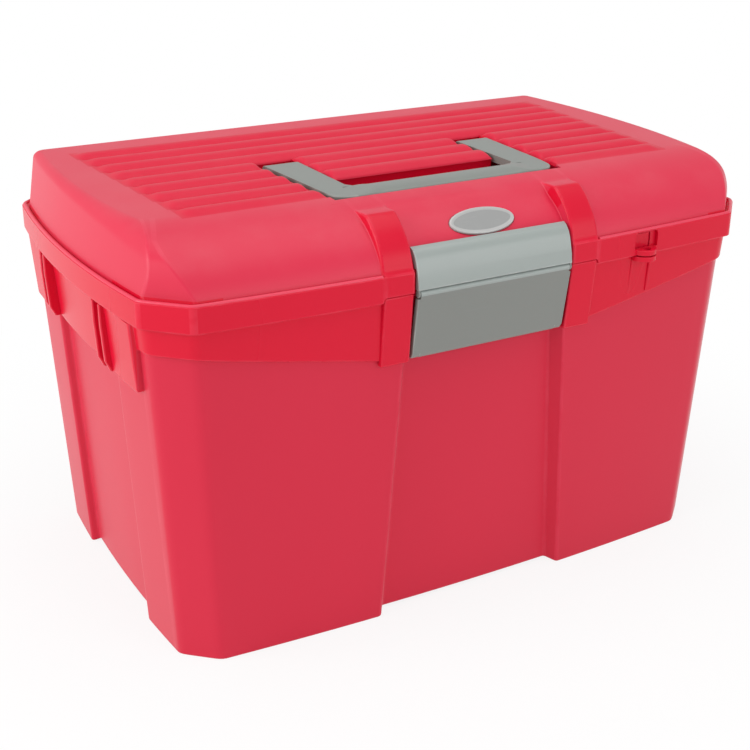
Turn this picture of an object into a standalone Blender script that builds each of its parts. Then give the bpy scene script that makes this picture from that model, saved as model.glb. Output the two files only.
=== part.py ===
"""Grooming tack box in moulded plastic, closed.

A drafted tub, a domed and ribbed lid on two rear hinges, a carry handle that folds
flat into the lid, a front latch and a lift-out tray. Metres, +Z up. The origin is the
middle of the base on the floor, +X runs along the length and -Y faces the front.
"""

import math

import bmesh
import bpy
from mathutils import Matrix, Vector

# Plan of the lid's rim band, the widest outline of the box
LENGTH = 0.400
RIM_DEPTH = 0.253
FRONT_BOW = 0.0062
END_BOW = 0.0076
CORNER_CUT = 0.0209

# Heights: the tub up to the lid's band, then the band, then the dome
BAND_Z = 0.1975
BAND_HEIGHT = 0.0143
DOME_HEIGHT = 0.0306
RIM_Z = BAND_Z + BAND_HEIGHT
TOP_Z = RIM_Z + DOME_HEIGHT

# Latch width, which the uprights beside it and the bay behind it follow
LATCH_HALF = 0.0493
LATCH_SIDE_GAP = 0.0017
PILASTER_WIDTH = 0.0175
PILASTER_IN = LATCH_HALF + LATCH_SIDE_GAP
PILASTER_OUT = PILASTER_IN + PILASTER_WIDTH

# Tub
BAND_GAP = 0.0010
TUB_TOP_Z = BAND_Z - BAND_GAP
TUB_WALL = 0.0025
TUB_FLOOR = 0.0030
WALL_IN_FRONT = 0.0066
WALL_IN_END = 0.0045
FRONT_DRAFT = 0.025
END_DRAFT = 0.0453
TUB_CUT_X = 0.0183
TUB_CUT_Y = 0.0166
TUB_BOW_FRONT = 0.0060
TUB_BOW_END = 0.0040
BASE_MARGIN = 0.008
BAY_LIFT = 0.0018
FRONT_BAY_HALF = 0.0629
FRONT_BAY_DEPTH = 0.0074
BAY_FLANK = 0.0044
FRONT_BAY_CLOSING = 0.063
END_STEP_HALF = 0.0484
END_BAY_HALF = END_STEP_HALF + 0.0023
END_BAY_DEPTH = 0.0052
END_BAY_FLANK = 0.0020

# Skirt and lip round the mouth of the tub
SKIRT_WALL = 0.0023
SKIRT_DRAFT = 0.07
SKIRT_LOW_Z = BAND_Z - 0.0370
SKIRT_HIGH_Z = BAND_Z - 0.0150
END_SKIRT_Z = BAND_Z - 0.0390
END_FOLD = 0.0395
END_FOLD_Y = RIM_DEPTH / 2 - END_FOLD
END_FOLD_FLANK = 0.0008
END_STEP_DEPTH = 0.0055
END_SWELL = 0.0026
LATCH_BAY_HALF = PILASTER_IN + 0.0010
LATCH_BAY_SET = 0.0037
LATCH_BAY_Z = BAND_Z - 0.0035
BAY_EDGE = 0.0004
STEP_RISE = 0.0025

# Lid
LID_WALL = 0.0022
LID_GAP = 0.0006
SEAT_GAP = 0.0003
BEAD_WIDTH = 0.0013
BEAD_HEIGHT = 0.0010
DOME_OFFSET = 0.0014
DOME_RUN = 0.0510
DOME_FOOT_Z = RIM_Z - 0.0088
END_LEDGE = 0.0035
END_RAKE = 0.0075
END_ROUND_BACK = 0.0045
END_ROUND_FRONT = 0.0130
BACK_LEDGE = 0.0080
BACK_RAKE = 0.0145
CHAMFER_END_Z = TOP_Z - 0.0019
TOP_CORNER = 0.0016
PILASTER_RISE = 0.0046
PILASTER_PEAK = 55.0
PILASTER_END = 66.0
PILASTER_FLANK = 0.0009
PILASTER_INSET = 0.0005
PILASTER_SPLIT_Z = BAND_Z + 0.0028
PILASTER_FOOT = 0.0012
PANEL_RECESS = 0.0025
DOME_STEPS = (13.2, 24.0, 35.0, 46.0, 55.0, 63.0, 70.0, 90.0)
INNER_STEPS = (24.0, 46.0, 68.0, 90.0)

# Ribs on top of the lid
RIB_PITCH = 0.0176
RIB_GROOVE = 0.0005
RIB_HEIGHT = 0.0021
RIB_MARGIN_FRONT = 0.0515
RIB_MARGIN_BACK = 0.0420
RIB_FIRST_Y = RIB_MARGIN_FRONT - RIM_DEPTH / 2
RIB_LAST_Y = RIM_DEPTH / 2 - RIB_MARGIN_BACK
RIB_REACH_FRONT = LENGTH / 2 - 0.0430
RIB_REACH_BACK = LENGTH / 2 - 0.0340
RIB_FADE = 0.0090
RIB_STOP = 0.0030
RIB_SOLE = 0.0003

# Handle and the pocket it folds into
HANDLE_DROP = 0.0038
HANDLE_Z = TOP_Z - HANDLE_DROP
HANDLE_REACH = 0.0805
HANDLE_PLATE = 0.0044
HANDLE_BARREL = 0.0040
HANDLE_IN = 0.0550
HANDLE_OUT_BACK = 0.0765
HANDLE_OUT_FRONT = 0.0718
GRIP_WIDTH = 0.0190
GRIP_SETBACK = 0.0470
GRIP_FRONT = GRIP_SETBACK - RIM_DEPTH / 2
GRIP_BACK = GRIP_FRONT + GRIP_WIDTH
HANDLE_PIVOT_Y = GRIP_FRONT + HANDLE_REACH
GRIP_CROWN = 0.0018
GRIP_BELLY = 0.0022
GRIP_DROP = 0.0016
GRIP_TAPER = 0.0160
HANDLE_ROUND = 0.0120
HANDLE_INNER_CUT = 0.0040
TRUNNION_R = 0.0025
TRUNNION_FIT = 0.0003
TRUNNION_IN = 0.0022
HANDLE_SIDE_GAP = 0.0018
HANDLE_REAR_ROOM = 0.0130
POCKET_FRONT = GRIP_FRONT - 0.0008
CHANNEL_WIDTH = 0.0418
CHANNEL_BACK = POCKET_FRONT + CHANNEL_WIDTH
POCKET_FLOOR_Z = TOP_Z - 0.0084
CHANNEL_FLOOR_Z = TOP_Z - 0.0184
ISLAND_HALF = 0.0535
POCKET_CHEEK = 0.0046

# Latch
LATCH_Y = -RIM_DEPTH / 2 - 0.0005
LATCH_PIVOT_Y = LATCH_Y + 0.0018
LATCH_PIVOT_Z = BAND_Z + 0.0018
LATCH_BARREL = 0.0019
LATCH_PIN_R = 0.0010
LATCH_LUG = 0.0045
FLAP_FOOT_Y = LATCH_Y + 0.0060
FLAP_FOOT_Z = BAND_Z - 0.0365
FLAP_WALL = 0.0026
FLAP_RETURN = 0.0009
HOOK_HALF = 0.0220
HOOK_THICK = 0.0030
HOOK_GAP = 0.0003
CATCH_Z = BAND_Z - 0.0130
CATCH_THICK = 0.0030
CATCH_Y = LATCH_Y + 0.0082
CATCH_MARGIN = 0.0040
COVER_TOP_Z = RIM_Z + 0.0112
COVER_SHOULDER_Z = COVER_TOP_Z - 0.0070
COVER_ANGLE = 27.5

# Badge on the lid's centre panel
BADGE_LENGTH = 0.0410
BADGE_HEIGHT = 0.0170
BADGE_THICK = 0.0016
BADGE_SINK = 0.0009
BADGE_ANGLE = 43.5
BADGE_ROOM = 0.0004

# Padlock eye, right of the latch
EYE_X = 0.1040
EYE_HALF = 0.0085
EYE_R = 0.0077
EYE_HOLE_R = 0.0025
EYE_TAB = 0.0030
EYE_NOTCH_Z = BAND_Z + 0.0038
EYE_FOOT_Z = BAND_Z - 0.0245
EYE_CHEEK = 0.0018
CHEEK_INSET = 0.0001

# Rear hinges
HINGE_X = 0.1000
HINGE_Y = RIM_DEPTH / 2 + 0.0026
HINGE_Z = BAND_Z + 0.0020
HINGE_BARREL = 0.0034
HINGE_PIN_R = 0.0015
HINGE_FIT = 0.0003
HINGE_MIDDLE = 0.0140
HINGE_OUTER = 0.0080
HINGE_SIDE_GAP = 0.0004

# Ribs on the end walls
END_RIB_INNER = END_STEP_HALF - 0.0049
END_RIB_OUTER = END_STEP_HALF + 0.0041
END_RIB_THICK = 0.0030
END_RIB_INSET = 0.0007

# Tray
TRAY_HEIGHT = 0.0420
TRAY_WALL = 0.0020
TRAY_SIDE_GAP = 0.0020
TRAY_END_GAP = 0.0012
TRAY_BOW = 0.0028
TRAY_CUT = 0.0230
TRAY_DRAFT = 0.020
TRAY_DIVIDERS = (-0.0620, 0.0620)
TRAY_GRIP_HALF = 0.0450
TRAY_GRIP_HEIGHT = 0.0200
SEAT = 0.0003

RED = (0.610, 0.030, 0.062, 1.0)
GREY = (0.245, 0.262, 0.240, 1.0)
PALE_GREY = (0.400, 0.430, 0.400, 1.0)
STEEL = (0.560, 0.560, 0.570, 1.0)


class Plan:
    """Eight-sided outline: four long sides that bow outward and four cut corners."""

    def __init__(self, half_x, half_y, cut_x, cut_y, bow_front, bow_end):
        self.half_x = half_x
        self.half_y = half_y
        self.cut_x = cut_x
        self.cut_y = cut_y
        self.bow_front = bow_front
        self.bow_end = bow_end

    @property
    def corner_x(self):
        """Place along the front where the corner cut begins."""
        return self.half_x - self.cut_x

    @property
    def corner_y(self):
        """Place along an end where the corner cut begins."""
        return self.half_y - self.cut_y

    def front(self, x):
        """Distance of the front or back side from the middle plane."""
        return self.half_y + self.bow_front * (1.0 - (x / self.corner_x) ** 2)

    def end(self, y):
        """Distance of an end side from the middle plane."""
        return self.half_x + self.bow_end * (1.0 - (y / self.corner_y) ** 2)

    def inset(self, amount):
        """The outline moved inward by one wall or gap."""
        trim = amount * (1.0 - math.tan(math.pi / 8))
        return Plan(self.half_x - amount, self.half_y - amount,
                    self.cut_x - trim, self.cut_y - trim, self.bow_front, self.bow_end)


class Bay:
    """Recessed middle of one side. Its flanks slope and may close in upward, and the
    side may swell outward beside it, up to the fold near the corner."""

    def __init__(self, half, flank, depth, closing=0.0, swell=0.0):
        self.half = half
        self.flank = flank
        self.depth = depth
        self.closing = closing
        self.swell = swell

    def edge(self, z):
        return self.half - self.closing * z

    def floor(self, z):
        return self.edge(z) - self.flank

    def proud(self, place):
        """How far the side stands out of its plan at one place beside the bay."""
        if place > END_FOLD_Y:
            return 0.0
        return self.swell * max(0.0, place - self.half) / (END_FOLD_Y - self.half)

    def grown(self, amount):
        """The same bay seen from inside a wall of the given thickness."""
        return Bay(self.half + amount, self.flank, self.depth, self.closing, self.swell)


RIM = Plan(LENGTH / 2 - END_BOW, RIM_DEPTH / 2 - FRONT_BOW,
           CORNER_CUT, CORNER_CUT, FRONT_BOW, END_BOW)
SEAT_Z = RIM_Z - LID_WALL
LIP_IN = LID_WALL + LID_GAP
LIP_TOP_Z = SEAT_Z - SEAT_GAP
TRAY_Z = END_SKIRT_Z + STEP_RISE + SEAT

FRONT_MARKS = tuple(LATCH_BAY_HALF + (RIM.corner_x - LATCH_BAY_HALF) * share
                    for share in (0.735, 0.443, 0.192))
END_MARKS = (END_FOLD_Y + END_FOLD_FLANK, END_FOLD_Y,
             END_STEP_HALF + (END_FOLD_Y - END_STEP_HALF) / 2)
FRONT_BAY = Bay(FRONT_BAY_HALF, BAY_FLANK, FRONT_BAY_DEPTH, FRONT_BAY_CLOSING)
END_BAY = Bay(END_BAY_HALF, END_BAY_FLANK, END_BAY_DEPTH)
LATCH_BAY = Bay(LATCH_BAY_HALF, BAY_EDGE, LATCH_BAY_SET)
NO_BAY = Bay(LATCH_BAY_HALF, BAY_EDGE, 0.0)
END_PLAIN = Bay(END_STEP_HALF, END_FOLD_FLANK, 0.0)
END_STEP = Bay(END_STEP_HALF, END_FOLD_FLANK, END_STEP_DEPTH, swell=END_SWELL)


def clear_scene():
    """Remove every object, so the model starts from nothing."""
    for obj in list(bpy.data.objects):
        bpy.data.objects.remove(obj, do_unlink=True)


def make_material(name, colour, roughness, metallic=0.0):
    """One Principled material for one piece."""
    material = bpy.data.materials.new(name)
    material.use_nodes = True
    shader = material.node_tree.nodes["Principled BSDF"]
    shader.inputs["Base Color"].default_value = colour
    shader.inputs["Roughness"].default_value = roughness
    shader.inputs["Metallic"].default_value = metallic
    material.diffuse_color = colour
    return material


def add_object(name, bm, collection, origin=(0.0, 0.0, 0.0)):
    """Turn a bmesh in world space into an object whose origin is at the given point."""
    bmesh.ops.recalc_face_normals(bm, faces=bm.faces)
    bm.transform(Matrix.Translation(-Vector(origin)))
    mesh = bpy.data.meshes.new(name)
    bm.to_mesh(mesh)
    bm.free()
    obj = bpy.data.objects.new(name, mesh)
    obj.location = origin
    collection.objects.link(obj)
    return obj


def finish_piece(obj, colour, roughness, metallic=0.0, sharp=32.0):
    """Give a piece its own material and smooth shading up to a crease angle."""
    obj.data.materials.append(make_material(obj.name, colour, roughness, metallic))
    obj.data.shade_smooth()
    obj.data.set_sharp_from_angle(angle=math.radians(sharp))


def combine(target, tool, operation):
    """Boolean a helper solid with a piece and keep the helper as a wire guide."""
    modifier = target.modifiers.new(tool.name, "BOOLEAN")
    modifier.operation = operation
    modifier.solver = "EXACT"
    modifier.object = tool
    tool.hide_render = True
    tool.display_type = "WIRE"


def loft(bm, rings):
    """Skin a closed body through loops of matching points, capped at both ends."""
    loops = [[bm.verts.new(point) for point in ring] for ring in rings]
    count = len(loops[0])
    for low, high in zip(loops, loops[1:]):
        for i in range(count):
            j = (i + 1) % count
            bm.faces.new((low[i], low[j], high[j], high[i]))
    bm.faces.new(reversed(loops[0]))
    bm.faces.new(loops[-1])


def add_box(bm, x, y, z):
    """A box between pairs of coordinates along each axis."""
    size = Matrix.Diagonal((x[1] - x[0], y[1] - y[0], z[1] - z[0], 1.0))
    middle = Vector(((x[0] + x[1]) / 2, (y[0] + y[1]) / 2, (z[0] + z[1]) / 2))
    bmesh.ops.create_cube(bm, size=1.0, matrix=Matrix.Translation(middle) @ size)


def add_cylinder(bm, radius, start, end, segments=20):
    """A closed cylinder between two points."""
    start = Vector(start)
    along = Vector(end) - start
    turn = along.to_track_quat("Z", "Y").to_matrix().to_4x4()
    place = Matrix.Translation(start + along / 2) @ turn
    bmesh.ops.create_cone(bm, cap_ends=True, segments=segments, radius1=radius,
                          radius2=radius, depth=along.length, matrix=place)


def add_profile(bm, outline, along, start, end):
    """Extrude a closed outline in the two other axes along X, Y or Z."""
    place = {"X": lambda u, v: (start, u, v), "Y": lambda u, v: (u, start, v),
             "Z": lambda u, v: (u, v, start)}[along]
    face = bm.faces.new([bm.verts.new(place(u, v)) for u, v in outline])
    moved = bmesh.ops.extrude_face_region(bm, geom=[face])
    axis = {"X": Vector((1, 0, 0)), "Y": Vector((0, 1, 0)), "Z": Vector((0, 0, 1))}[along]
    fresh = [item for item in moved["geom"] if isinstance(item, bmesh.types.BMVert)]
    bmesh.ops.translate(bm, verts=fresh, vec=axis * (end - start))


def mirrored(half):
    """A full side from its half: corner to middle, then middle to the other corner."""
    left = [(-place, out, z) for place, out, z in half]
    right = [(place, out, z) for place, out, z in reversed(half[:-1])]
    return left + right


def side_half(side, marks, bay, distance, corner, z_at, plan_at, wall):
    """Points from a corner to the middle of one side as (place, outward, z)."""
    nominal = corner(RIM)
    points = []
    for place in (nominal,) + marks:
        z = z_at(side, place, False)
        plan = plan_at(z)
        spot = corner(plan) if place == nominal else place - wall
        points.append((spot, distance(plan, spot) + bay.proud(place), z))
    z = z_at(side, bay.half, False)
    points.append((bay.edge(z), distance(plan_at(z), bay.edge(z)), z))
    for share in (1.0, 0.5, 0.0):
        z = z_at(side, bay.half * share, True)
        spot = bay.floor(z) * share
        points.append((spot, distance(plan_at(z), spot) - bay.depth, z))
    return points


def tub_ring(plan_at, z_at, bays, wall=0.0):
    """One loop of the tub, anticlockwise from above, from the front left corner."""
    ring = []
    halves = {}
    for side, bay in zip(("front", "back", "end"), bays):
        marks, distance, corner = FRONT_MARKS, Plan.front, lambda plan: plan.corner_x
        if side == "end":
            marks, distance, corner = END_MARKS, Plan.end, lambda plan: plan.corner_y
        halves[side] = side_half(side, marks, bay.grown(wall), distance, corner,
                                 z_at, plan_at, wall)
    ring += [(place, -out, z) for place, out, z in mirrored(halves["front"])]
    ring += [(out, place, z) for place, out, z in mirrored(halves["end"])]
    ring += [(-place, out, z) for place, out, z in mirrored(halves["back"])]
    ring += [(-out, -place, z) for place, out, z in mirrored(halves["end"])]
    return ring


def wall_plan(z):
    """Outer wall of the tub at one height, narrowing toward the floor."""
    drop = TUB_TOP_Z - z
    return Plan(RIM.half_x - WALL_IN_END - drop * END_DRAFT,
                RIM.half_y - WALL_IN_FRONT - drop * FRONT_DRAFT,
                TUB_CUT_X, TUB_CUT_Y, TUB_BOW_FRONT, TUB_BOW_END)


def skirt_plan(z):
    """Outer face of the skirt, drafted inward below the lid's band."""
    return RIM.inset(LIP_IN + SEAT + (TUB_TOP_Z - z) * SKIRT_DRAFT)


def skirt_foot(side, place, in_bay):
    """Height of the skirt's lower edge at one place round the tub."""
    if side == "front":
        if in_bay:
            return LATCH_BAY_Z
        slope = (SKIRT_HIGH_Z - SKIRT_LOW_Z) / (RIM.corner_x - LATCH_BAY_HALF)
        return SKIRT_LOW_Z + max(0.0, place - LATCH_BAY_HALF) * slope
    if side == "back" or place > END_FOLD_Y:
        return SKIRT_HIGH_Z
    return END_SKIRT_Z


def inner_shoulder(side, place, in_bay):
    """Underside of the shoulder between skirt and lip: one wall over the recessed middle
    and one wall under the swollen flanks."""
    return TUB_TOP_Z + SKIRT_WALL if in_bay else TUB_TOP_Z - SKIRT_WALL


def level(z):
    """A ring at one height."""
    return lambda side, place, in_bay: z


def tub_rings():
    """Loops of the tub's skin: up the outside, over the lip and down the inside."""
    foot = lambda side, place, in_bay: BAY_LIFT if in_bay else 0.0
    step_top = lambda *spot: skirt_foot(*spot) + STEP_RISE
    lip_foot = lambda *spot: inner_shoulder(*spot) + SEAT
    lip = lambda z: RIM.inset(LIP_IN)
    lip_inside = lambda z: RIM.inset(LIP_IN + SKIRT_WALL)
    inner_wall = lambda z: wall_plan(z).inset(TUB_WALL)
    inner_skirt = lambda z: skirt_plan(z).inset(SKIRT_WALL)
    margin = lambda z: wall_plan(z).inset(BASE_MARGIN)
    wall_bays = (FRONT_BAY, FRONT_BAY, END_BAY)
    lip_bays = (LATCH_BAY, NO_BAY, END_PLAIN)
    skirt_bays = (LATCH_BAY, NO_BAY, END_STEP)
    shoulder = TUB_TOP_Z + SEAT
    return [
        tub_ring(margin, level(0.0), wall_bays, TUB_WALL),
        tub_ring(wall_plan, foot, wall_bays),
        tub_ring(wall_plan, skirt_foot, wall_bays),
        tub_ring(skirt_plan, skirt_foot, skirt_bays),
        tub_ring(skirt_plan, level(TUB_TOP_Z), skirt_bays),
        tub_ring(lip, level(shoulder), lip_bays),
        tub_ring(lip, level(LIP_TOP_Z), lip_bays),
        tub_ring(lip_inside, level(LIP_TOP_Z), lip_bays, SKIRT_WALL),
        tub_ring(lip_inside, lip_foot, lip_bays, SKIRT_WALL),
        tub_ring(inner_skirt, inner_shoulder, skirt_bays, SKIRT_WALL),
        tub_ring(inner_skirt, step_top, skirt_bays, SKIRT_WALL),
        tub_ring(inner_wall, step_top, wall_bays, TUB_WALL),
        tub_ring(inner_wall, level(TUB_FLOOR), wall_bays, TUB_WALL),
    ]


def band_face(x):
    """Distance of the front face of the lid's band from the middle plane."""
    return RIM.front(x)


def add_tub_pilasters(bm):
    """Two uprights beside the latch that carry on the lid's pilasters."""
    x = (PILASTER_IN + PILASTER_OUT) / 2
    top = PILASTER_SPLIT_Z - SEAT
    low = SKIRT_LOW_Z - SEAT
    knee = SKIRT_LOW_Z + STEP_RISE * 2
    face = band_face(x) - PILASTER_INSET
    foot_face = skirt_plan(low).front(x) + PILASTER_FOOT
    outline = [(-(wall_plan(low).front(x) - TUB_WALL / 2), low), (-foot_face, low), (-face, top),
               (-(RIM.front(x) - LIP_IN - SKIRT_WALL / 2), top),
               (-(skirt_plan(knee).front(x) - SKIRT_WALL / 2), knee)]
    for low, high in ((-PILASTER_OUT, -PILASTER_IN), (PILASTER_IN, PILASTER_OUT)):
        add_profile(bm, outline, "X", low, high)


def add_end_ribs(bm):
    """Pairs of upright ribs on both ends, flush with the lid's band."""
    top = TUB_TOP_Z + SEAT / 2
    for side in (-1, 1):
        for place in (END_RIB_INNER, END_RIB_OUTER):
            for sign in (-1, 1):
                y = sign * place
                reach = RIM.end(y) - END_RIB_INSET
                root = skirt_plan(END_SKIRT_Z).end(y) - END_STEP_DEPTH - SKIRT_WALL / 2
                outline = [(root, END_SKIRT_Z), (reach - 0.004, END_SKIRT_Z),
                           (reach - 0.0012, END_SKIRT_Z + 0.006), (reach, top - 0.012),
                           (reach, top), (root, top)]
                outline = [(side * u, v) for u, v in outline]
                add_profile(bm, outline, "Y", y - END_RIB_THICK / 2, y + END_RIB_THICK / 2)


def eye_outline(back):
    """Half-round tab of the padlock eye, seen from above, rooted at a line behind it."""
    centre = -band_face(EYE_X) + LID_WALL
    start = math.asin(max(0.0, centre - back) / EYE_R)
    sweep = math.pi - 2.0 * start
    arc = [(EYE_X - EYE_R * math.cos(a), centre - EYE_R * math.sin(a))
           for a in [start + sweep * i / 10 for i in range(11)]]
    if back <= centre:
        return arc
    return arc + [(EYE_X + EYE_R, back), (EYE_X - EYE_R, back)]


def eye_hole(bm, low, high):
    """The eye's upright hole."""
    y = -band_face(EYE_X) - EYE_R / 8
    add_cylinder(bm, EYE_HOLE_R, (EYE_X, y, low), (EYE_X, y, high), 16)


def add_eye_cheeks(bm):
    """A cheek under each side of the padlock eye's lower tab."""
    top = BAND_Z - SEAT
    skirt = skirt_plan(TUB_TOP_Z).front(EYE_X)
    low_back = -skirt_plan(SKIRT_LOW_Z).front(EYE_X) + SKIRT_WALL / 2
    cheek = [(low_back, EYE_FOOT_Z), (low_back, top - EYE_TAB / 2),
             (-skirt - 0.0028, top - EYE_TAB / 2), (-skirt + 0.0004, EYE_FOOT_Z)]
    for low in (EYE_X - EYE_R + CHEEK_INSET, EYE_X + EYE_R - CHEEK_INSET - EYE_CHEEK):
        add_profile(bm, cheek, "X", low, low + EYE_CHEEK)


def hinge_bracket(name, spans, top_side, collection):
    """Knuckles round the hinge line with webs that root them in the tub or the lid."""
    bm = bmesh.new()
    for low, high in spans:
        add_cylinder(bm, HINGE_BARREL, (low, HINGE_Y, HINGE_Z), (high, HINGE_Y, HINGE_Z), 20)
    barrel = add_object(name + "_barrel", bm, collection)
    bm = bmesh.new()
    for low, high in spans:
        inner = low + 0.0003
        outer = high - 0.0003
        if top_side:
            root = band_face(HINGE_X) - LID_WALL / 2
            web = [(root, BAND_Z + 0.0006), (HINGE_Y, HINGE_Z - 0.0010),
                   (HINGE_Y, HINGE_Z + HINGE_BARREL - 0.0004), (root, HINGE_Z + 0.0085)]
        else:
            root = band_face(HINGE_X) - LIP_IN - SKIRT_WALL / 2
            web = [(root, SKIRT_HIGH_Z + 0.002), (HINGE_Y + 0.0026, BAND_Z - 0.0045),
                   (HINGE_Y + 0.0026, BAND_Z - 0.0005), (root, BAND_Z - 0.0005)]
        add_profile(bm, web, "X", inner, outer)
    body = add_object(name, bm, collection)
    combine(body, barrel, "UNION")
    return body


def hinge_spans(sides):
    """Knuckle spans along X: the middle one on the tub, the outer pair on the lid."""
    half = HINGE_MIDDLE / 2
    spans = []
    for centre in (-HINGE_X, HINGE_X):
        if sides == "tub":
            spans.append((centre - half, centre + half))
        else:
            inner = half + HINGE_SIDE_GAP
            spans.append((centre - inner - HINGE_OUTER, centre - inner))
            spans.append((centre + inner, centre + inner + HINGE_OUTER))
    return spans


def hinge_bores(name, collection):
    """Bores for the hinge pins, through every knuckle."""
    bm = bmesh.new()
    reach = HINGE_MIDDLE / 2 + HINGE_SIDE_GAP + HINGE_OUTER + 0.002
    for centre in (-HINGE_X, HINGE_X):
        add_cylinder(bm, HINGE_PIN_R + HINGE_FIT, (centre - reach, HINGE_Y, HINGE_Z),
                     (centre + reach, HINGE_Y, HINGE_Z), 14)
    return add_object(name, bm, collection)


def build_tub(parts, cutters):
    """The tub: one drafted shell with its pilasters, ribs, catch, eye and knuckles."""
    bm = bmesh.new()
    loft(bm, tub_rings())
    tub = add_object("tub", bm, parts)
    finish_piece(tub, RED, 0.42)

    bm = bmesh.new()
    add_tub_pilasters(bm)
    add_end_ribs(bm)
    add_eye_cheeks(bm)
    wall = wall_plan(CATCH_Z).front(0.0) - FRONT_BAY_DEPTH - TUB_WALL / 2
    catch_top = CATCH_Z + CATCH_THICK
    catch_half = HOOK_HALF + CATCH_MARGIN
    add_profile(bm, [(-wall, CATCH_Z), (CATCH_Y, CATCH_Z), (CATCH_Y, CATCH_Z + CATCH_THICK * 0.6),
                     (CATCH_Y + 0.0016, catch_top), (-wall, catch_top + 0.002)],
                "X", -catch_half, catch_half)
    combine(tub, add_object("tub_features", bm, cutters), "UNION")
    bm = bmesh.new()
    back = -skirt_plan(TUB_TOP_Z).front(EYE_X) + SKIRT_WALL / 2
    add_profile(bm, eye_outline(back), "Z", BAND_Z - SEAT - EYE_TAB, BAND_Z - SEAT)
    combine(tub, add_object("tub_eye_tab", bm, cutters), "UNION")
    combine(tub, hinge_bracket("tub_knuckles", hinge_spans("tub"), False, cutters), "UNION")
    combine(tub, hinge_bores("tub_bores", cutters), "DIFFERENCE")
    bm = bmesh.new()
    eye_hole(bm, BAND_Z - EYE_TAB - 0.004, BAND_Z + 0.004)
    combine(tub, add_object("tub_eye_hole", bm, cutters), "DIFFERENCE")
    return tub


def dome_point(angle):
    """Front profile of the dome: inset from the band's face, height and outward normal."""
    rise = TOP_Z - DOME_FOOT_Z
    a = math.radians(angle)
    inset = DOME_OFFSET + DOME_RUN * (1.0 - math.cos(a))
    normal = Vector((rise * math.cos(a), DOME_RUN * math.sin(a))).normalized()
    return inset, DOME_FOOT_Z + rise * math.sin(a), normal


def pilaster_rise(angle):
    """How far the pilaster stands off the dome at one step of its profile."""
    if angle <= PILASTER_PEAK:
        return PILASTER_RISE * angle / PILASTER_PEAK
    return max(0.0, PILASTER_RISE * (PILASTER_END - angle) / (PILASTER_END - PILASTER_PEAK))


def panel_recess(angle):
    """How far the centre panel lies under the dome, fading out toward the top."""
    return PANEL_RECESS * min(1.0, max(0.0, (DOME_STEPS[-2] - angle) / 15.0))


def end_lean(y, z):
    """How far the dome's end wall lies in at one height: it leans and rounds over at the
    top, with a round that grows toward the front corners."""
    share = min(1.0, max(0.0, 0.5 - y / (2.0 * RIM.corner_y))) ** 3
    radius = END_ROUND_BACK + (END_ROUND_FRONT - END_ROUND_BACK) * share
    climb = min(1.0, max(0.0, 1.0 - (TOP_Z - z) / radius))
    return END_RAKE * (z - RIM_Z) / DOME_HEIGHT + radius * (1.0 - math.sqrt(1.0 - climb ** 2))


def no_lean(y):
    """The band's ends stand upright."""
    return 0.0


def lid_ring(front, back_in, end_in, z, cut_front, cut_back, lean=no_lean, straight=0.0):
    """One loop of the lid. front gives (inset, height) for the dome, pilaster or panel,
    lean the end wall's own inset, and straight how far the back has lost its bow."""
    dome_in = front["dome"][0]
    y_front = -(RIM.half_y - dome_in - cut_front)
    lift = straight * RIM.bow_front
    y_back = RIM.half_y + lift - back_in - cut_back
    corner = RIM.half_x - end_in - lean(y_front) - cut_front
    half = [(corner, "dome"), (FRONT_MARKS[0], "dome"), (FRONT_MARKS[1], "dome"),
            (PILASTER_OUT + PILASTER_FLANK, "dome"), (PILASTER_OUT, "pilaster"),
            (PILASTER_IN, "pilaster"), (PILASTER_IN - PILASTER_FLANK, "panel"),
            (PILASTER_IN / 2, "panel"), (0.0, "panel")]
    ring = []
    for sign, places in ((-1, half), (1, list(reversed(half[:-1])))):
        for x, zone in places:
            inset, height = front[zone]
            ring.append((sign * x, -(RIM.front(x) - inset), height))
    shares = (0.0, 0.2, 0.4, 0.6, 0.8, 1.0)
    end = [y_front + (y_back - y_front) * share for share in shares]
    end = [(RIM.end(y) - end_in - lean(y), y) for y in end]
    ring += [(x, y, z) for x, y in end]
    back_corner = RIM.half_x - end_in - lean(y_back) - cut_back
    back = [back_corner * share for share in (1.0, 0.67, 0.35, 0.0, -0.35, -0.67, -1.0)]
    ring += [(x, RIM.front(x) + straight * (RIM.front(0.0) - RIM.front(x)) - back_in, z)
             for x in back]
    ring += [(-x, y, z) for x, y in reversed(end)]
    return ring


def flat_ring(inset, z, bay_set=LATCH_BAY_SET, split=0.0, back_extra=0.0):
    """A loop of the band, set back behind the latch and raised over the tub's uprights."""
    cut = CORNER_CUT - inset * (1.0 - math.tan(math.pi / 8))
    front = {"dome": (inset, z), "pilaster": (inset, z + split), "panel": (inset + bay_set, z)}
    return lid_ring(front, inset + back_extra, inset, z, cut, cut)


def dome_ring(angle, wall):
    """A loop of the dome, outside for no wall or inside for the lid's wall."""
    inset, z, normal = dome_point(angle)
    share = (z - RIM_Z) / (TOP_Z - RIM_Z)
    rise = pilaster_rise(angle) if wall == 0.0 else 0.0
    recess = panel_recess(angle)
    front = {}
    for zone, offset in (("dome", 0.0), ("pilaster", rise), ("panel", -recess)):
        shift = offset - wall
        front[zone] = (inset - shift * normal.x, z + shift * normal.y)
    trim = wall * (1.0 - math.tan(math.pi / 8))
    taper = max(0.0, 1.0 - (z - RIM_Z) / (CHAMFER_END_Z - RIM_Z))
    cut = max(TOP_CORNER, CORNER_CUT * taper - trim)
    height = z - wall * normal.y
    return lid_ring(front, BACK_LEDGE + BACK_RAKE * share + wall, END_LEDGE + wall,
                    height, cut, cut, lambda y: end_lean(y, z), share)


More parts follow.
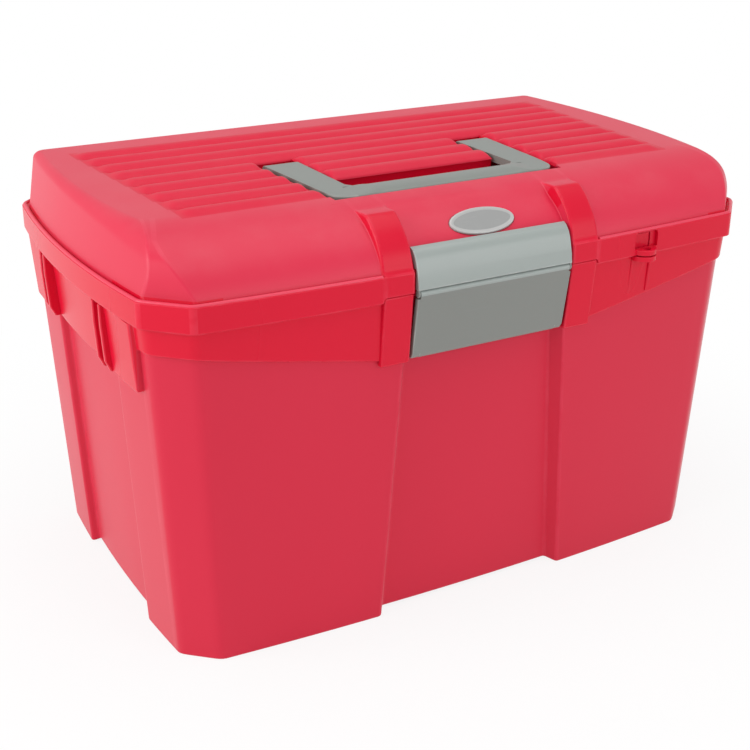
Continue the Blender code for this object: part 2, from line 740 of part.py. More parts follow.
def ledge_ring(z, wall):
    """Foot of the dome on the band's ledge, outside or inside."""
    inset, _, normal = dome_point(DOME_STEPS[0])
    cut = CORNER_CUT - (inset + wall) * (1.0 - math.tan(math.pi / 8))
    front = {"dome": (inset + wall, z), "panel": (inset + PANEL_RECESS + wall, z),
             "pilaster": (PILASTER_INSET if wall == 0.0 else inset + wall,
                          RIM_Z + 0.0002 if wall == 0.0 else z)}
    return lid_ring(front, BACK_LEDGE + wall, END_LEDGE + wall, z, cut, cut)


def lid_rings():
    """Loops of the lid's skin: down the outside from the top, then up the inside."""
    split = PILASTER_SPLIT_Z - BAND_Z
    rings = [dome_ring(angle, 0.0) for angle in reversed(DOME_STEPS[1:])]
    bead = flat_ring(BEAD_WIDTH, RIM_Z)
    rings += [
        ledge_ring(RIM_Z - BEAD_HEIGHT, 0.0),
        with_pilaster(bead, PILASTER_INSET * 0.7),
        flat_ring(0.0, RIM_Z - 0.0004),
        flat_ring(0.0, BAND_Z, split=split),
        flat_ring(LID_WALL, BAND_Z, split=split),
        flat_ring(LID_WALL, SEAT_Z),
        ledge_ring(SEAT_Z, LID_WALL),
    ]
    rings += [dome_ring(angle, LID_WALL) for angle in INNER_STEPS]
    return rings


def with_pilaster(ring, inset):
    """Hold a loop's pilaster points near the band's face."""
    changed = []
    for x, y, z in ring:
        if y < 0 and PILASTER_IN - 1e-6 < abs(x) < PILASTER_OUT + 1e-6:
            y = -(RIM.front(x) - inset)
        changed.append((x, y, z))
    return changed


def handle_outer(y):
    """Half width over the handle's arms at one place along them."""
    share = (y - GRIP_FRONT) / (HANDLE_PIVOT_Y - GRIP_FRONT)
    return HANDLE_OUT_FRONT + (HANDLE_OUT_BACK - HANDLE_OUT_FRONT) * share


def pocket_outline(margin):
    """Plan of one arm's slot, grown by a margin, as a list of (x, y)."""
    back = HANDLE_PIVOT_Y + HANDLE_REAR_ROOM + margin
    front = POCKET_FRONT - margin
    return [(ISLAND_HALF - margin, front), (handle_outer(front) + HANDLE_SIDE_GAP + margin, front),
            (handle_outer(back) + HANDLE_SIDE_GAP + margin, back), (ISLAND_HALF - margin, back)]


def build_pocket(name, collection, margin, arm_floor, channel_floor, top):
    """Solid U: two arm slots and the finger channel that joins them in front."""
    bm = bmesh.new()
    for sign in (-1, 1):
        outline = [(sign * x, y) for x, y in pocket_outline(margin)]
        add_profile(bm, outline, "Z", arm_floor, top)
    arms = add_object(name + "_arms", bm, collection)
    bm = bmesh.new()
    front = POCKET_FRONT - margin
    half = handle_outer(front) + HANDLE_SIDE_GAP + margin
    add_box(bm, (-half + 0.0001, half - 0.0001), (front + 0.0001, CHANNEL_BACK + margin),
            (channel_floor, top - 0.0002))
    pocket = add_object(name, bm, collection)
    combine(pocket, arms, "UNION")
    return pocket


def rib_ring(x, crest_y, height):
    """Cross-section of one rib: an arc over a flat sole sunk in the lid's top."""
    half = (RIB_PITCH - RIB_GROOVE) / 2
    sole = TOP_Z - LID_WALL / 2
    ring = [(x, crest_y - half, sole)]
    for i in range(7):
        share = -1.0 + 2.0 * i / 6
        lift = height * (1.0 - share * share) - RIB_SOLE
        ring.append((x, crest_y + share * half * 0.999, TOP_Z + lift))
    ring.append((x, crest_y + half, sole))
    return ring


def add_rib(bm, crest_y, low, high, fade_low, fade_high):
    """One rib between two places along X, with ends that round down."""
    def swell(share):
        return RIB_HEIGHT * math.sin(share * math.pi / 2)
    sections = []
    for share in (0.0, 0.35, 0.7, 1.0):
        sections.append((low + fade_low * share, swell(share)))
    for share in (1.0, 0.7, 0.35, 0.0):
        sections.append((high - fade_high * share, swell(share)))
    loft(bm, [rib_ring(x, crest_y, height) for x, height in sections])


def build_ribs(collection):
    """Lengthwise ribs, interrupted where the handle lies in the lid."""
    bm = bmesh.new()
    pocket_back = HANDLE_PIVOT_Y + HANDLE_REAR_ROOM
    count = int((RIB_LAST_Y - RIB_FIRST_Y) / RIB_PITCH)
    for index in range(count):
        crest = RIB_FIRST_Y + RIB_PITCH * (index + 0.5)
        share = index / (count - 1)
        reach = RIB_REACH_FRONT + (RIB_REACH_BACK - RIB_REACH_FRONT) * share
        if crest - RIB_PITCH / 4 > pocket_back:
            add_rib(bm, crest, -reach, reach, RIB_FADE, RIB_FADE)
            continue
        slot = handle_outer(crest + RIB_PITCH / 2) + HANDLE_SIDE_GAP + RIB_GROOVE
        add_rib(bm, crest, -reach, -slot, RIB_FADE, RIB_STOP)
        add_rib(bm, crest, slot, reach, RIB_STOP, RIB_FADE)
        if crest > CHANNEL_BACK:
            add_rib(bm, crest, -ISLAND_HALF, ISLAND_HALF, RIB_STOP, RIB_STOP)
    return add_object("lid_ribs", bm, collection)


def badge_frame():
    """Middle of the badge's seat and the slope of the centre panel there."""
    inset, z, normal = dome_point(BADGE_ANGLE)
    out = panel_recess(BADGE_ANGLE)
    y = -(RIM.front(0.0) - inset - out * normal.x)
    tilt = math.atan2(normal.y, normal.x)
    place = Matrix.Translation((0.0, y, z - out * normal.y))
    return place @ Matrix.Rotation(math.pi / 2 - tilt, 4, "X")


def add_oval(bm, length, height, low, high, segments=32):
    """Oval disc in the badge's own frame, between two depths."""
    size = Matrix.Diagonal((length, height, high - low, 1.0))
    place = badge_frame() @ Matrix.Translation((0.0, 0.0, (low + high) / 2)) @ size
    bmesh.ops.create_cone(bm, cap_ends=True, segments=segments, radius1=0.5, radius2=0.5,
                          depth=1.0, matrix=place)


def build_lid(parts, cutters):
    """The lid: domed shell, ribs, handle pocket, eye, knuckles and the latch's lugs."""
    bm = bmesh.new()
    loft(bm, lid_rings())
    hinge = (0.0, HINGE_Y, HINGE_Z)
    lid = add_object("lid", bm, parts, hinge)
    finish_piece(lid, RED, 0.40)
    combine(lid, build_ribs(cutters), "UNION")
    sheath = build_pocket("pocket_sheath", cutters, POCKET_CHEEK, POCKET_FLOOR_Z - LID_WALL,
                          CHANNEL_FLOOR_Z - LID_WALL, TOP_Z - LID_WALL / 2)
    combine(lid, sheath, "UNION")
    void = build_pocket("pocket_void", cutters, 0.0, POCKET_FLOOR_Z, CHANNEL_FLOOR_Z,
                        TOP_Z + 0.010)
    combine(lid, void, "DIFFERENCE")
    bm = bmesh.new()
    for sign in (-1, 1):
        reach = handle_outer(HANDLE_PIVOT_Y) + HANDLE_SIDE_GAP + TRUNNION_IN + SEAT * 2
        add_cylinder(bm, TRUNNION_R + TRUNNION_FIT,
                     (sign * (HANDLE_OUT_BACK - 0.004), HANDLE_PIVOT_Y, HANDLE_Z),
                     (sign * reach, HANDLE_PIVOT_Y, HANDLE_Z), 16)
    combine(lid, add_object("trunnion_holes", bm, cutters), "DIFFERENCE")

    bm = bmesh.new()
    centre = -band_face(EYE_X)
    add_box(bm, (EYE_X - EYE_HALF, EYE_X + EYE_HALF), (centre - 0.004, centre + LID_WALL + 0.0002),
            (EYE_NOTCH_Z, RIM_Z + 0.003))
    combine(lid, add_object("eye_notch", bm, cutters), "DIFFERENCE")
    bm = bmesh.new()
    add_profile(bm, eye_outline(centre + LID_WALL - 0.0004), "Z", BAND_Z + 0.0004,
                EYE_NOTCH_Z - 0.0003)
    combine(lid, add_object("eye_tab", bm, cutters), "UNION")
    bm = bmesh.new()
    eye_hole(bm, BAND_Z - 0.004, EYE_NOTCH_Z + 0.004)
    combine(lid, add_object("lid_eye_hole", bm, cutters), "DIFFERENCE")

    combine(lid, hinge_bracket("lid_knuckles", hinge_spans("lid"), True, cutters), "UNION")
    combine(lid, hinge_bores("lid_bores", cutters), "DIFFERENCE")
    bm = bmesh.new()
    add_oval(bm, BADGE_LENGTH + 2 * BADGE_ROOM, BADGE_HEIGHT + 2 * BADGE_ROOM, -BADGE_SINK,
             BADGE_SINK * 10)
    combine(lid, add_object("badge_seat", bm, cutters), "DIFFERENCE")
    return lid


def build_handle(parts, cutters):
    """The carry handle: two flat arms, a rounded grip, rear barrels and trunnions."""
    pivot = (0.0, HANDLE_PIVOT_Y, HANDLE_Z)
    top = HANDLE_Z + HANDLE_BARREL
    low = top - HANDLE_PLATE
    round_y = GRIP_FRONT + HANDLE_ROUND
    centre_x = handle_outer(round_y) - HANDLE_ROUND
    outer = [(handle_outer(HANDLE_PIVOT_Y), HANDLE_PIVOT_Y), (handle_outer(round_y), round_y)]
    for i in range(1, 6):
        angle = math.pi / 2 * i / 6
        outer.append((centre_x + HANDLE_ROUND * math.cos(angle),
                      round_y - HANDLE_ROUND * math.sin(angle)))
    outer.append((centre_x, GRIP_FRONT))
    inner = [(HANDLE_IN, HANDLE_PIVOT_Y), (HANDLE_IN, GRIP_BACK + HANDLE_INNER_CUT),
             (HANDLE_IN - HANDLE_INNER_CUT, GRIP_BACK)]
    right = outer + [(-x, y) for x, y in reversed(outer)]
    outline = right + [(-x, y) for x, y in inner] + [(x, y) for x, y in reversed(inner)]
    bm = bmesh.new()
    add_profile(bm, outline, "Z", low, top)
    handle = add_object("handle", bm, parts, pivot)
    finish_piece(handle, GREY, 0.38)

    bm = bmesh.new()
    rise = GRIP_TAPER * 0.375
    rings = []
    half_grip = ((0.0, 0.0), (rise, 0.75), (GRIP_TAPER, 1.0))
    sections = [(-centre_x + place, swell) for place, swell in half_grip]
    sections += [(centre_x - place, swell) for place, swell in reversed(half_grip)]
    for x, swell in sections:
        ring = []
        for i in range(9):
            share = i / 8
            y = GRIP_FRONT + GRIP_WIDTH * (0.012 + 0.976 * share)
            crown = GRIP_CROWN * swell * math.sin(math.pi * min(1.0, share * 1.25) ** 0.8)
            drop = GRIP_DROP * swell * (1.0 - share) ** 2
            ring.append((x, y, top - 0.0002 + max(0.0, crown) - drop))
        for share in (1.0, 0.75, 0.25, 0.0):
            y = GRIP_FRONT + GRIP_WIDTH * (0.06 + 0.88 * share)
            belly = GRIP_BELLY * swell if 0.1 < share < 0.9 else GRIP_BELLY * swell * 0.3
            ring.append((x, y, low + 0.0002 - belly))
        rings.append(ring)
    loft(bm, rings)
    combine(handle, add_object("handle_grip", bm, cutters), "UNION")

    bm = bmesh.new()
    for sign in (-1, 1):
        add_cylinder(bm, HANDLE_BARREL, (sign * (HANDLE_IN + 0.0001), HANDLE_PIVOT_Y, HANDLE_Z),
                     (sign * (HANDLE_OUT_BACK - 0.0001), HANDLE_PIVOT_Y, HANDLE_Z), 20)
    combine(handle, add_object("handle_barrels", bm, cutters), "UNION")
    bm = bmesh.new()
    reach = HANDLE_OUT_BACK + HANDLE_SIDE_GAP + TRUNNION_IN
    for sign in (-1, 1):
        add_cylinder(bm, TRUNNION_R, (sign * (HANDLE_OUT_BACK - 0.004), HANDLE_PIVOT_Y, HANDLE_Z),
                     (sign * reach, HANDLE_PIVOT_Y, HANDLE_Z), 16)
    combine(handle, add_object("handle_trunnions", bm, cutters), "UNION")
    return handle


def panel_y(angle, gap):
    """Point a small gap in front of the centre panel, as (y, z)."""
    inset, z, normal = dome_point(angle)
    shift = gap - panel_recess(angle)
    return (-(RIM.front(0.0) - inset + shift * normal.x), z + shift * normal.y)


def build_cover(parts, cutters):
    """Latch cover: a curved shell over the band, lugs at its foot hold the pin."""
    band = -(RIM.front(0.0) - LATCH_BAY_SET) - SEAT
    foot = LATCH_PIVOT_Z + LATCH_BARREL + SEAT
    top_in = panel_y(COVER_ANGLE, SEAT)
    outer = [(LATCH_Y + 0.0004, foot), (LATCH_Y, foot + 0.0006), (LATCH_Y + 0.0012, foot + 0.0080),
             (LATCH_Y + 0.0030, COVER_SHOULDER_Z), (LATCH_Y + 0.0046, COVER_SHOULDER_Z + 0.0032),
             (LATCH_Y + 0.0068, COVER_TOP_Z - 0.0014), (LATCH_Y + 0.0092, COVER_TOP_Z - 0.0003),
             (top_in[0] + 0.0002, COVER_TOP_Z)]
    inner = [top_in, panel_y(20.0, SEAT), (panel_y(DOME_STEPS[0], SEAT)[0], RIM_Z + SEAT),
             (band, RIM_Z + SEAT), (band, foot)]
    bm = bmesh.new()
    add_profile(bm, outer + inner, "X", -LATCH_HALF, LATCH_HALF)
    cover = add_object("latch_cover", bm, parts)
    finish_piece(cover, PALE_GREY, 0.36)

    bm = bmesh.new()
    for sign in (-1, 1):
        inner_x = sign * (LATCH_HALF - LATCH_LUG)
        add_profile(bm, [(LATCH_PIVOT_Y - 0.0014, LATCH_PIVOT_Z), (LATCH_PIVOT_Y + 0.0009, LATCH_PIVOT_Z),
                         (LATCH_PIVOT_Y + 0.0009, foot + 0.002), (LATCH_PIVOT_Y - 0.0014, foot + 0.002)],
                    "X", inner_x, sign * (LATCH_HALF - 0.0001))
    webs = add_object("cover_webs", bm, cutters)
    bm = bmesh.new()
    for sign in (-1, 1):
        add_cylinder(bm, LATCH_BARREL, (sign * (LATCH_HALF - LATCH_LUG), LATCH_PIVOT_Y, LATCH_PIVOT_Z),
                     (sign * (LATCH_HALF - 0.0001), LATCH_PIVOT_Y, LATCH_PIVOT_Z), 16)
    lugs = add_object("cover_lugs", bm, cutters)
    combine(lugs, webs, "UNION")
    combine(cover, lugs, "UNION")
    bm = bmesh.new()
    reach = LATCH_HALF - 0.0008
    add_cylinder(bm, LATCH_PIN_R + SEAT, (-reach, LATCH_PIVOT_Y, LATCH_PIVOT_Z),
                 (reach, LATCH_PIVOT_Y, LATCH_PIVOT_Z), 12)
    combine(cover, add_object("cover_bore", bm, cutters), "DIFFERENCE")
    return cover


def flap_face(z):
    """Outer face of the flap at one height."""
    share = (LATCH_PIVOT_Z - z) / (LATCH_PIVOT_Z - FLAP_FOOT_Z)
    return LATCH_Y + 0.0002 + (FLAP_FOOT_Y - LATCH_Y) * share


def build_flap(parts, cutters):
    """Latch flap: a tapered plate with a barrel on top and a hook behind."""
    pivot = (0.0, LATCH_PIVOT_Y, LATCH_PIVOT_Z)
    top = LATCH_PIVOT_Z
    foot = FLAP_FOOT_Z
    outline = [(LATCH_PIVOT_Y, top), (LATCH_PIVOT_Y - LATCH_BARREL + 0.0002, top - 0.0006),
               (flap_face(top - 0.004), top - 0.004), (flap_face(foot + 0.003), foot + 0.003),
               (flap_face(foot) + 0.0006, foot + 0.0008), (flap_face(foot) + 0.0016, foot),
               (flap_face(foot) + FLAP_WALL + FLAP_RETURN, foot + 0.0002),
               (flap_face(foot) + FLAP_WALL, foot + 0.0030),
               (flap_face(top - 0.004) + FLAP_WALL, top - 0.004),
               (LATCH_PIVOT_Y + LATCH_BARREL - 0.0008, top - 0.0010)]
    half = LATCH_HALF - LATCH_LUG - SEAT
    bm = bmesh.new()
    add_profile(bm, outline, "X", -half, half)
    flap = add_object("latch_flap", bm, parts, pivot)
    finish_piece(flap, GREY, 0.38)

    bm = bmesh.new()
    side_top = LATCH_PIVOT_Z - LATCH_BARREL - SEAT * 2
    for sign in (-1, 1):
        wing = [(flap_face(side_top), side_top), (flap_face(foot + 0.003), foot + 0.003),
                (flap_face(foot) + 0.0014, foot + 0.0002),
                (flap_face(foot) + FLAP_WALL + FLAP_RETURN - 0.0002, foot + 0.0003),
                (flap_face(side_top) + FLAP_WALL + FLAP_RETURN - 0.0002, side_top)]
        low, high = sorted((sign * (half - 0.001), sign * LATCH_HALF))
        add_profile(bm, wing, "X", low, high)
    combine(flap, add_object("flap_wings", bm, cutters), "UNION")
    bm = bmesh.new()
    hook_top = CATCH_Z - HOOK_GAP
    root = flap_face(hook_top) + FLAP_WALL / 2
    tip = CATCH_Y + 0.0026
    add_profile(bm, [(root, hook_top - HOOK_THICK - 0.0015), (root, hook_top), (tip, hook_top),
                     (tip, hook_top - HOOK_THICK * 0.6), (tip - 0.0012, hook_top - HOOK_THICK)],
                "X", -HOOK_HALF, HOOK_HALF)
    combine(flap, add_object("flap_hook", bm, cutters), "UNION")
    bm = bmesh.new()
    add_cylinder(bm, LATCH_BARREL, (-half + 0.0001, LATCH_PIVOT_Y, LATCH_PIVOT_Z),
                 (half - 0.0001, LATCH_PIVOT_Y, LATCH_PIVOT_Z), 16)
    combine(flap, add_object("flap_barrel", bm, cutters), "UNION")
    bm = bmesh.new()
    add_cylinder(bm, LATCH_PIN_R + SEAT, (-LATCH_HALF, LATCH_PIVOT_Y, LATCH_PIVOT_Z),
                 (LATCH_HALF, LATCH_PIVOT_Y, LATCH_PIVOT_Z), 12)
    combine(flap, add_object("flap_bore", bm, cutters), "DIFFERENCE")
    return flap


def build_pins(parts):
    """The latch pin and the two hinge pins."""
    reach = LATCH_HALF - 0.0008 - SEAT
    pins = [("latch_pin", LATCH_PIN_R, (-reach, LATCH_PIVOT_Y, LATCH_PIVOT_Z),
             (reach, LATCH_PIVOT_Y, LATCH_PIVOT_Z))]
    half = HINGE_MIDDLE / 2 + HINGE_SIDE_GAP + HINGE_OUTER
    for name, centre in (("hinge_pin_left", -HINGE_X), ("hinge_pin_right", HINGE_X)):
        pins.append((name, HINGE_PIN_R, (centre - half, HINGE_Y, HINGE_Z),
                     (centre + half, HINGE_Y, HINGE_Z)))
    for name, radius, start, end in pins:
        bm = bmesh.new()
        add_cylinder(bm, radius, start, end, 12)
        middle = tuple((a + b) / 2 for a, b in zip(start, end))
        finish_piece(add_object(name, bm, parts, middle), STEEL, 0.30, 1.0)


def build_badge(parts):
    """Bare oval badge seated in the centre panel."""
    bm = bmesh.new()
    add_oval(bm, BADGE_LENGTH, BADGE_HEIGHT, SEAT - BADGE_SINK, SEAT - BADGE_SINK + BADGE_THICK)
    rim = [edge for edge in bm.edges if len(edge.link_faces) == 2
           and max(len(face.verts) for face in edge.link_faces) > 4
           and (badge_frame().inverted() @ edge.verts[0].co).z > 0.0]
    bmesh.ops.bevel(bm, geom=rim, offset=0.0005, segments=1, affect="EDGES")
    finish_piece(add_object("badge", bm, parts), PALE_GREY, 0.30, 0.2)


def tray_plan(z):
    """Outer outline of the tray at one height: its ends rest on the tub's end steps."""
    grow = (z - TRAY_Z) * TRAY_DRAFT
    step = skirt_plan(END_SKIRT_Z).end(0.0) - END_STEP_DEPTH - SKIRT_WALL
    wall = wall_plan(TRAY_Z).front(0.0) - FRONT_BAY_DEPTH - TUB_WALL
    return Plan(step - TRAY_END_GAP - TRAY_BOW + grow, wall - TRAY_SIDE_GAP + grow,
                TRAY_CUT, TRAY_CUT, 0.0, TRAY_BOW)


def plan_ring(plan, z):
    """A loop with straight sides and cut corners whose ends bow outward."""
    shares = (-1.0, -0.5, 0.0, 0.5, 1.0)
    end = [(plan.end(plan.corner_y * share), plan.corner_y * share) for share in shares]
    back = [(plan.corner_x, plan.half_y), (-plan.corner_x, plan.half_y)]
    outline = end + back + [(-x, -y) for x, y in end] + [(-x, -y) for x, y in back]
    return [(x, y, z) for x, y in outline]


def build_tray(parts, cutters):
    """Lift-out tray: drafted pan, cross dividers and a carrying wall with a hand slot."""
    top = TRAY_Z + TRAY_HEIGHT
    inner = TRAY_Z + TRAY_WALL
    bm = bmesh.new()
    loft(bm, [plan_ring(tray_plan(TRAY_Z), TRAY_Z), plan_ring(tray_plan(top), top),
              plan_ring(tray_plan(top).inset(TRAY_WALL), top),
              plan_ring(tray_plan(inner).inset(TRAY_WALL), inner)])
    tray = add_object("tray", bm, parts)
    finish_piece(tray, RED, 0.45)

    half_y = tray_plan(inner).half_y - TRAY_WALL / 2
    half_x = tray_plan(inner).half_x - TRAY_WALL / 2
    bm = bmesh.new()
    wall = TRAY_WALL / 2
    base = inner - TRAY_WALL / 2
    for x in TRAY_DIVIDERS:
        add_box(bm, (x - wall, x + wall), (-half_y, half_y), (base, top - 0.008))
    dividers = add_object("tray_dividers", bm, cutters)
    bm = bmesh.new()
    add_box(bm, (-half_x, half_x), (-wall, wall), (base + 0.0001, top - 0.0085))
    carrier = add_object("tray_carrier", bm, cutters)
    bm = bmesh.new()
    hand_half = TRAY_DIVIDERS[1] - 0.001
    add_box(bm, (-hand_half, hand_half), (-wall * 1.5, wall * 1.5), (base + 0.0002, top - 0.0002))
    hand = add_object("tray_hand_wall", bm, cutters)
    bm = bmesh.new()
    slot_top = top - 0.008
    add_box(bm, (-TRAY_GRIP_HALF, TRAY_GRIP_HALF), (-0.01, 0.01),
            (slot_top - TRAY_GRIP_HEIGHT, slot_top))
    slot = add_object("tray_hand_slot", bm, cutters)
    for tool in (dividers, carrier, hand):
        combine(tray, tool, "UNION")
    combine(tray, slot, "DIFFERENCE")
    return tray


def main():
    """Build every piece of the box in its closed state."""
    clear_scene()
    scene = bpy.context.scene
    parts = bpy.data.collections.new("tack_box")
    cutters = bpy.data.collections.new("cutters")
    scene.collection.children.link(parts)
    scene.collection.children.link(cutters)
    build_tub(parts, cutters)
    build_lid(parts, cutters)
    build_handle(parts, cutters)
    build_cover(parts, cutters)
    build_flap(parts, cutters)
    build_pins(parts)
    build_badge(parts)
    build_tray(parts, cutters)


main()
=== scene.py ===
"""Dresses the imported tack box: moulded shells with rounded edges, crowned lid ribs, a
rolled rim bead, grey carry handle and latch, steel pins and a bare oval plate, in a plain
pale studio seen from the photograph's angle. Metres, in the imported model's own frame."""

import logging
import math
from dataclasses import dataclass
from enum import Enum
from typing import Callable, Dict, List, Sequence, Tuple

import bmesh
import bpy
from mathutils import Matrix, Quaternion, Vector


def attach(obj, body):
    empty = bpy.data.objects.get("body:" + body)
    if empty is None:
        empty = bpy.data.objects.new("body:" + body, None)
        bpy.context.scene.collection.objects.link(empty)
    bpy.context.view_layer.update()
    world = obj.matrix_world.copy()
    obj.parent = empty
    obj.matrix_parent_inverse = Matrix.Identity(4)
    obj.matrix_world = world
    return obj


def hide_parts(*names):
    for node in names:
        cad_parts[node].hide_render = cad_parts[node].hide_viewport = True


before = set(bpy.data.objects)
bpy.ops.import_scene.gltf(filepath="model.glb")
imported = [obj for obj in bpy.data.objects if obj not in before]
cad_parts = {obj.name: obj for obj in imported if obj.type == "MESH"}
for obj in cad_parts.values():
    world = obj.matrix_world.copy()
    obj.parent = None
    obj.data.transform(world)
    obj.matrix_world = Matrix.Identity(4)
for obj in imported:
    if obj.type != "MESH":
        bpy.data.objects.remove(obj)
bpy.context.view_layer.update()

LOG = logging.getLogger("tack_box")

Pair = Tuple[float, float]
Point = Tuple[float, float, float]
Colour = Tuple[float, float, float]
BMesh = bmesh.types.BMesh
Material = bpy.types.Material
NodeSocket = bpy.types.NodeSocket
NodeTree = bpy.types.NodeTree
Object = bpy.types.Object

# Face mask of small roundings: rubbed edges, painted paler as a highlight along the edges.
WORN_AND_HIGHLIT_EDGE = "worn_edge"


class Body(str, Enum):
    """The bodies of the box that move on their own."""

    TUB = "tub"
    LID = "lid"
    FLAP = "flap"
    HANDLE = "handle"
    TRAY = "tray"


class Slot(str, Enum):
    """The record's material slots."""

    RED = "red_plastic"
    GREY = "grey_plastic"
    PALE_GREY = "pale_grey_plastic"
    STEEL = "steel_pin"


class Socket(str, Enum):
    """Socket types used in the node groups and geometry trees."""

    FLOAT = "NodeSocketFloat"
    INT = "NodeSocketInt"
    VECTOR = "NodeSocketVector"
    MATERIAL = "NodeSocketMaterial"
    GEOMETRY = "NodeSocketGeometry"


class Tree:
    """A thin builder over a node tree, so that trees read as a list of steps."""

    def __init__(self, tree: NodeTree) -> None:
        """Keep the tree that the nodes go in."""
        self.tree = tree

    def add(self, kind: str, values: Dict[object, object] = None,
            **settings: object) -> bpy.types.Node:
        """Add a node.

        Args:
            kind: the node's type name.
            values: inputs by name or number, each a plain value or an output socket.
            settings: properties of the node itself.

        Returns:
            The new node.
        """
        node = self.tree.nodes.new(kind)
        for key, value in settings.items():
            setattr(node, key, value)
        for key, value in (values or {}).items():
            self.feed(node.inputs[key], value)
        return node

    def feed(self, socket: NodeSocket, value: object) -> None:
        """Link an output to a socket, or set the socket's own value.

        Args:
            socket: the input.
            value: a plain value or an output socket.
        """
        if isinstance(value, NodeSocket):
            self.tree.links.new(value, socket)
        else:
            socket.default_value = (*value, 1.0) if socket.type == "RGBA" else value

    def math(self, operation: str, *values: object, clamp: bool = False) -> NodeSocket:
        """One Math node's result."""
        return self.add("ShaderNodeMath", dict(enumerate(values)), operation=operation,
                        use_clamp=clamp).outputs[0]

    def plus(self, first: object, second: object, clamp: bool = False) -> NodeSocket:
        """The sum of two values."""
        return self.math("ADD", first, second, clamp=clamp)

    def minus(self, first: object, second: object) -> NodeSocket:
        """The first value less the second."""
        return self.math("SUBTRACT", first, second)

    def times(self, first: object, second: object, clamp: bool = False) -> NodeSocket:
        """The product of two values."""
        return self.math("MULTIPLY", first, second, clamp=clamp)

    def noise(self, place: object, scale: object, detail: float = 2.0,
              roughness: float = 0.5) -> NodeSocket:
        """One three-dimensional Noise Texture's value."""
        values = {"Vector": place, "Scale": scale, "Detail": detail, "Roughness": roughness}
        return self.add("ShaderNodeTexNoise", values).outputs[0]

    def ramp(self, value: object, low: float, high: float, start: float = 0.0,
             end: float = 1.0) -> NodeSocket:
        """A smooth remap of a value from low..high to start..end."""
        values = {"Value": value, "From Min": low, "From Max": high, "To Min": start,
                  "To Max": end}
        return self.add("ShaderNodeMapRange", values,
                        interpolation_type="SMOOTHSTEP").outputs[0]

    def mix(self, factor: object, first: object, second: object) -> NodeSocket:
        """A colour between two colours."""
        values = {0: factor, 6: first, 7: second}
        return self.add("ShaderNodeMix", values, data_type="RGBA").outputs[2]


def new_group(name: str, kind: str, inputs: Dict[str, Tuple[Socket, object]],
              outputs: Dict[str, Socket]) -> Tuple[NodeTree, Tree, object, object]:
    """Make an empty node group with named sockets.

    Args:
        name: the group's name.
        kind: the tree's type name.
        inputs: socket type and default value by name.
        outputs: socket type by name.

    Returns:
        The group, its builder, its input node's outputs and its output node's inputs.
    """
    group = bpy.data.node_groups.new(name, kind)
    for label, (socket, value) in inputs.items():
        item = group.interface.new_socket(label, in_out="INPUT", socket_type=socket.value)
        if value is not None:
            item.default_value = value
    for label, socket in outputs.items():
        group.interface.new_socket(label, in_out="OUTPUT", socket_type=socket.value)
    build = Tree(group)
    entry = build.add("NodeGroupInput").outputs
    leave = build.add("NodeGroupOutput").inputs
    return group, build, entry, leave


def grain_group() -> NodeTree:
    """Spark-eroded mould grain: a fine height, and a slow mottle from the melt's flow.

    Returns:
        The shader group.
    """
    group, build, entry, leave = new_group(
        "Mould Grain", "ShaderNodeTree",
        {"Vector": (Socket.VECTOR, None), "Grain": (Socket.FLOAT, 2200.0)},
        {"Height": Socket.FLOAT, "Mottle": Socket.FLOAT})
    fine = build.noise(entry["Vector"], entry["Grain"], 2.0, 0.6)
    coarse = build.noise(entry["Vector"], build.times(entry["Grain"], 0.21), 1.0)
    build.feed(leave["Height"], build.plus(build.times(fine, 0.7), build.times(coarse, 0.3)))
    stretch = build.add("ShaderNodeMapping", {"Vector": entry["Vector"],
                                              "Scale": (1.0, 1.0, 0.35)}).outputs[0]
    flow = build.noise(stretch, 14.0, 1.0, 0.45)
    build.feed(leave["Mottle"], build.ramp(flow, 0.05, 0.95))
    return group


def wear_and_highlight_group() -> NodeTree:
    """Rubbed edges painted paler as a highlight: the rounded edges' own mask, broken up by noise.

    Returns:
        The shader group.
    """
    group, build, entry, leave = new_group(
        "Rubbed Edge", "ShaderNodeTree",
        {"Vector": (Socket.VECTOR, None), "Edge": (Socket.FLOAT, 0.0),
         "Amount": (Socket.FLOAT, 0.5)},
        {"Mask": Socket.FLOAT})
    patchy = build.ramp(build.noise(entry["Vector"], 55.0, 3.0, 0.6), 0.38, 0.62, 0.25, 1.0)
    mask = build.times(entry["Edge"], patchy)
    build.feed(leave["Mask"], build.times(mask, entry["Amount"], clamp=True))
    return group


def dust_group() -> NodeTree:
    """A thin film of dust on what faces upward.

    Returns:
        The shader group.
    """
    group, build, entry, leave = new_group(
        "Settled Dust", "ShaderNodeTree",
        {"Vector": (Socket.VECTOR, None), "Amount": (Socket.FLOAT, 0.1)},
        {"Mask": Socket.FLOAT})
    facing = build.add("ShaderNodeSeparateXYZ",
                       {0: build.add("ShaderNodeNewGeometry").outputs["Normal"]}).outputs[2]
    film = build.ramp(build.noise(entry["Vector"], 30.0, 5.0, 0.65), 0.40, 0.68)
    mask = build.times(build.ramp(facing, 0.35, 0.95), film)
    build.feed(leave["Mask"], build.times(mask, entry["Amount"], clamp=True))
    return group


def scuff_group() -> NodeTree:
    """Hairline scuffs that run mostly along the box.

    Returns:
        The shader group.
    """
    group, build, entry, leave = new_group(
        "Hairline Scuffs", "ShaderNodeTree",
        {"Vector": (Socket.VECTOR, None), "Amount": (Socket.FLOAT, 0.3)},
        {"Mask": Socket.FLOAT})
    turned = build.add("ShaderNodeMapping", {"Vector": entry["Vector"],
                                             "Rotation": (0.0, 0.10, 0.12),
                                             "Scale": (0.05, 1.0, 1.4)}).outputs[0]
    lines = build.noise(turned, 810.0, 2.0, 0.7)
    thin = build.ramp(lines, 0.64, 0.72)
    where = build.ramp(build.noise(entry["Vector"], 18.0, 2.0), 0.45, 0.62)
    mask = build.times(thin, where)
    build.feed(leave["Mask"], build.times(mask, entry["Amount"], clamp=True))
    return group


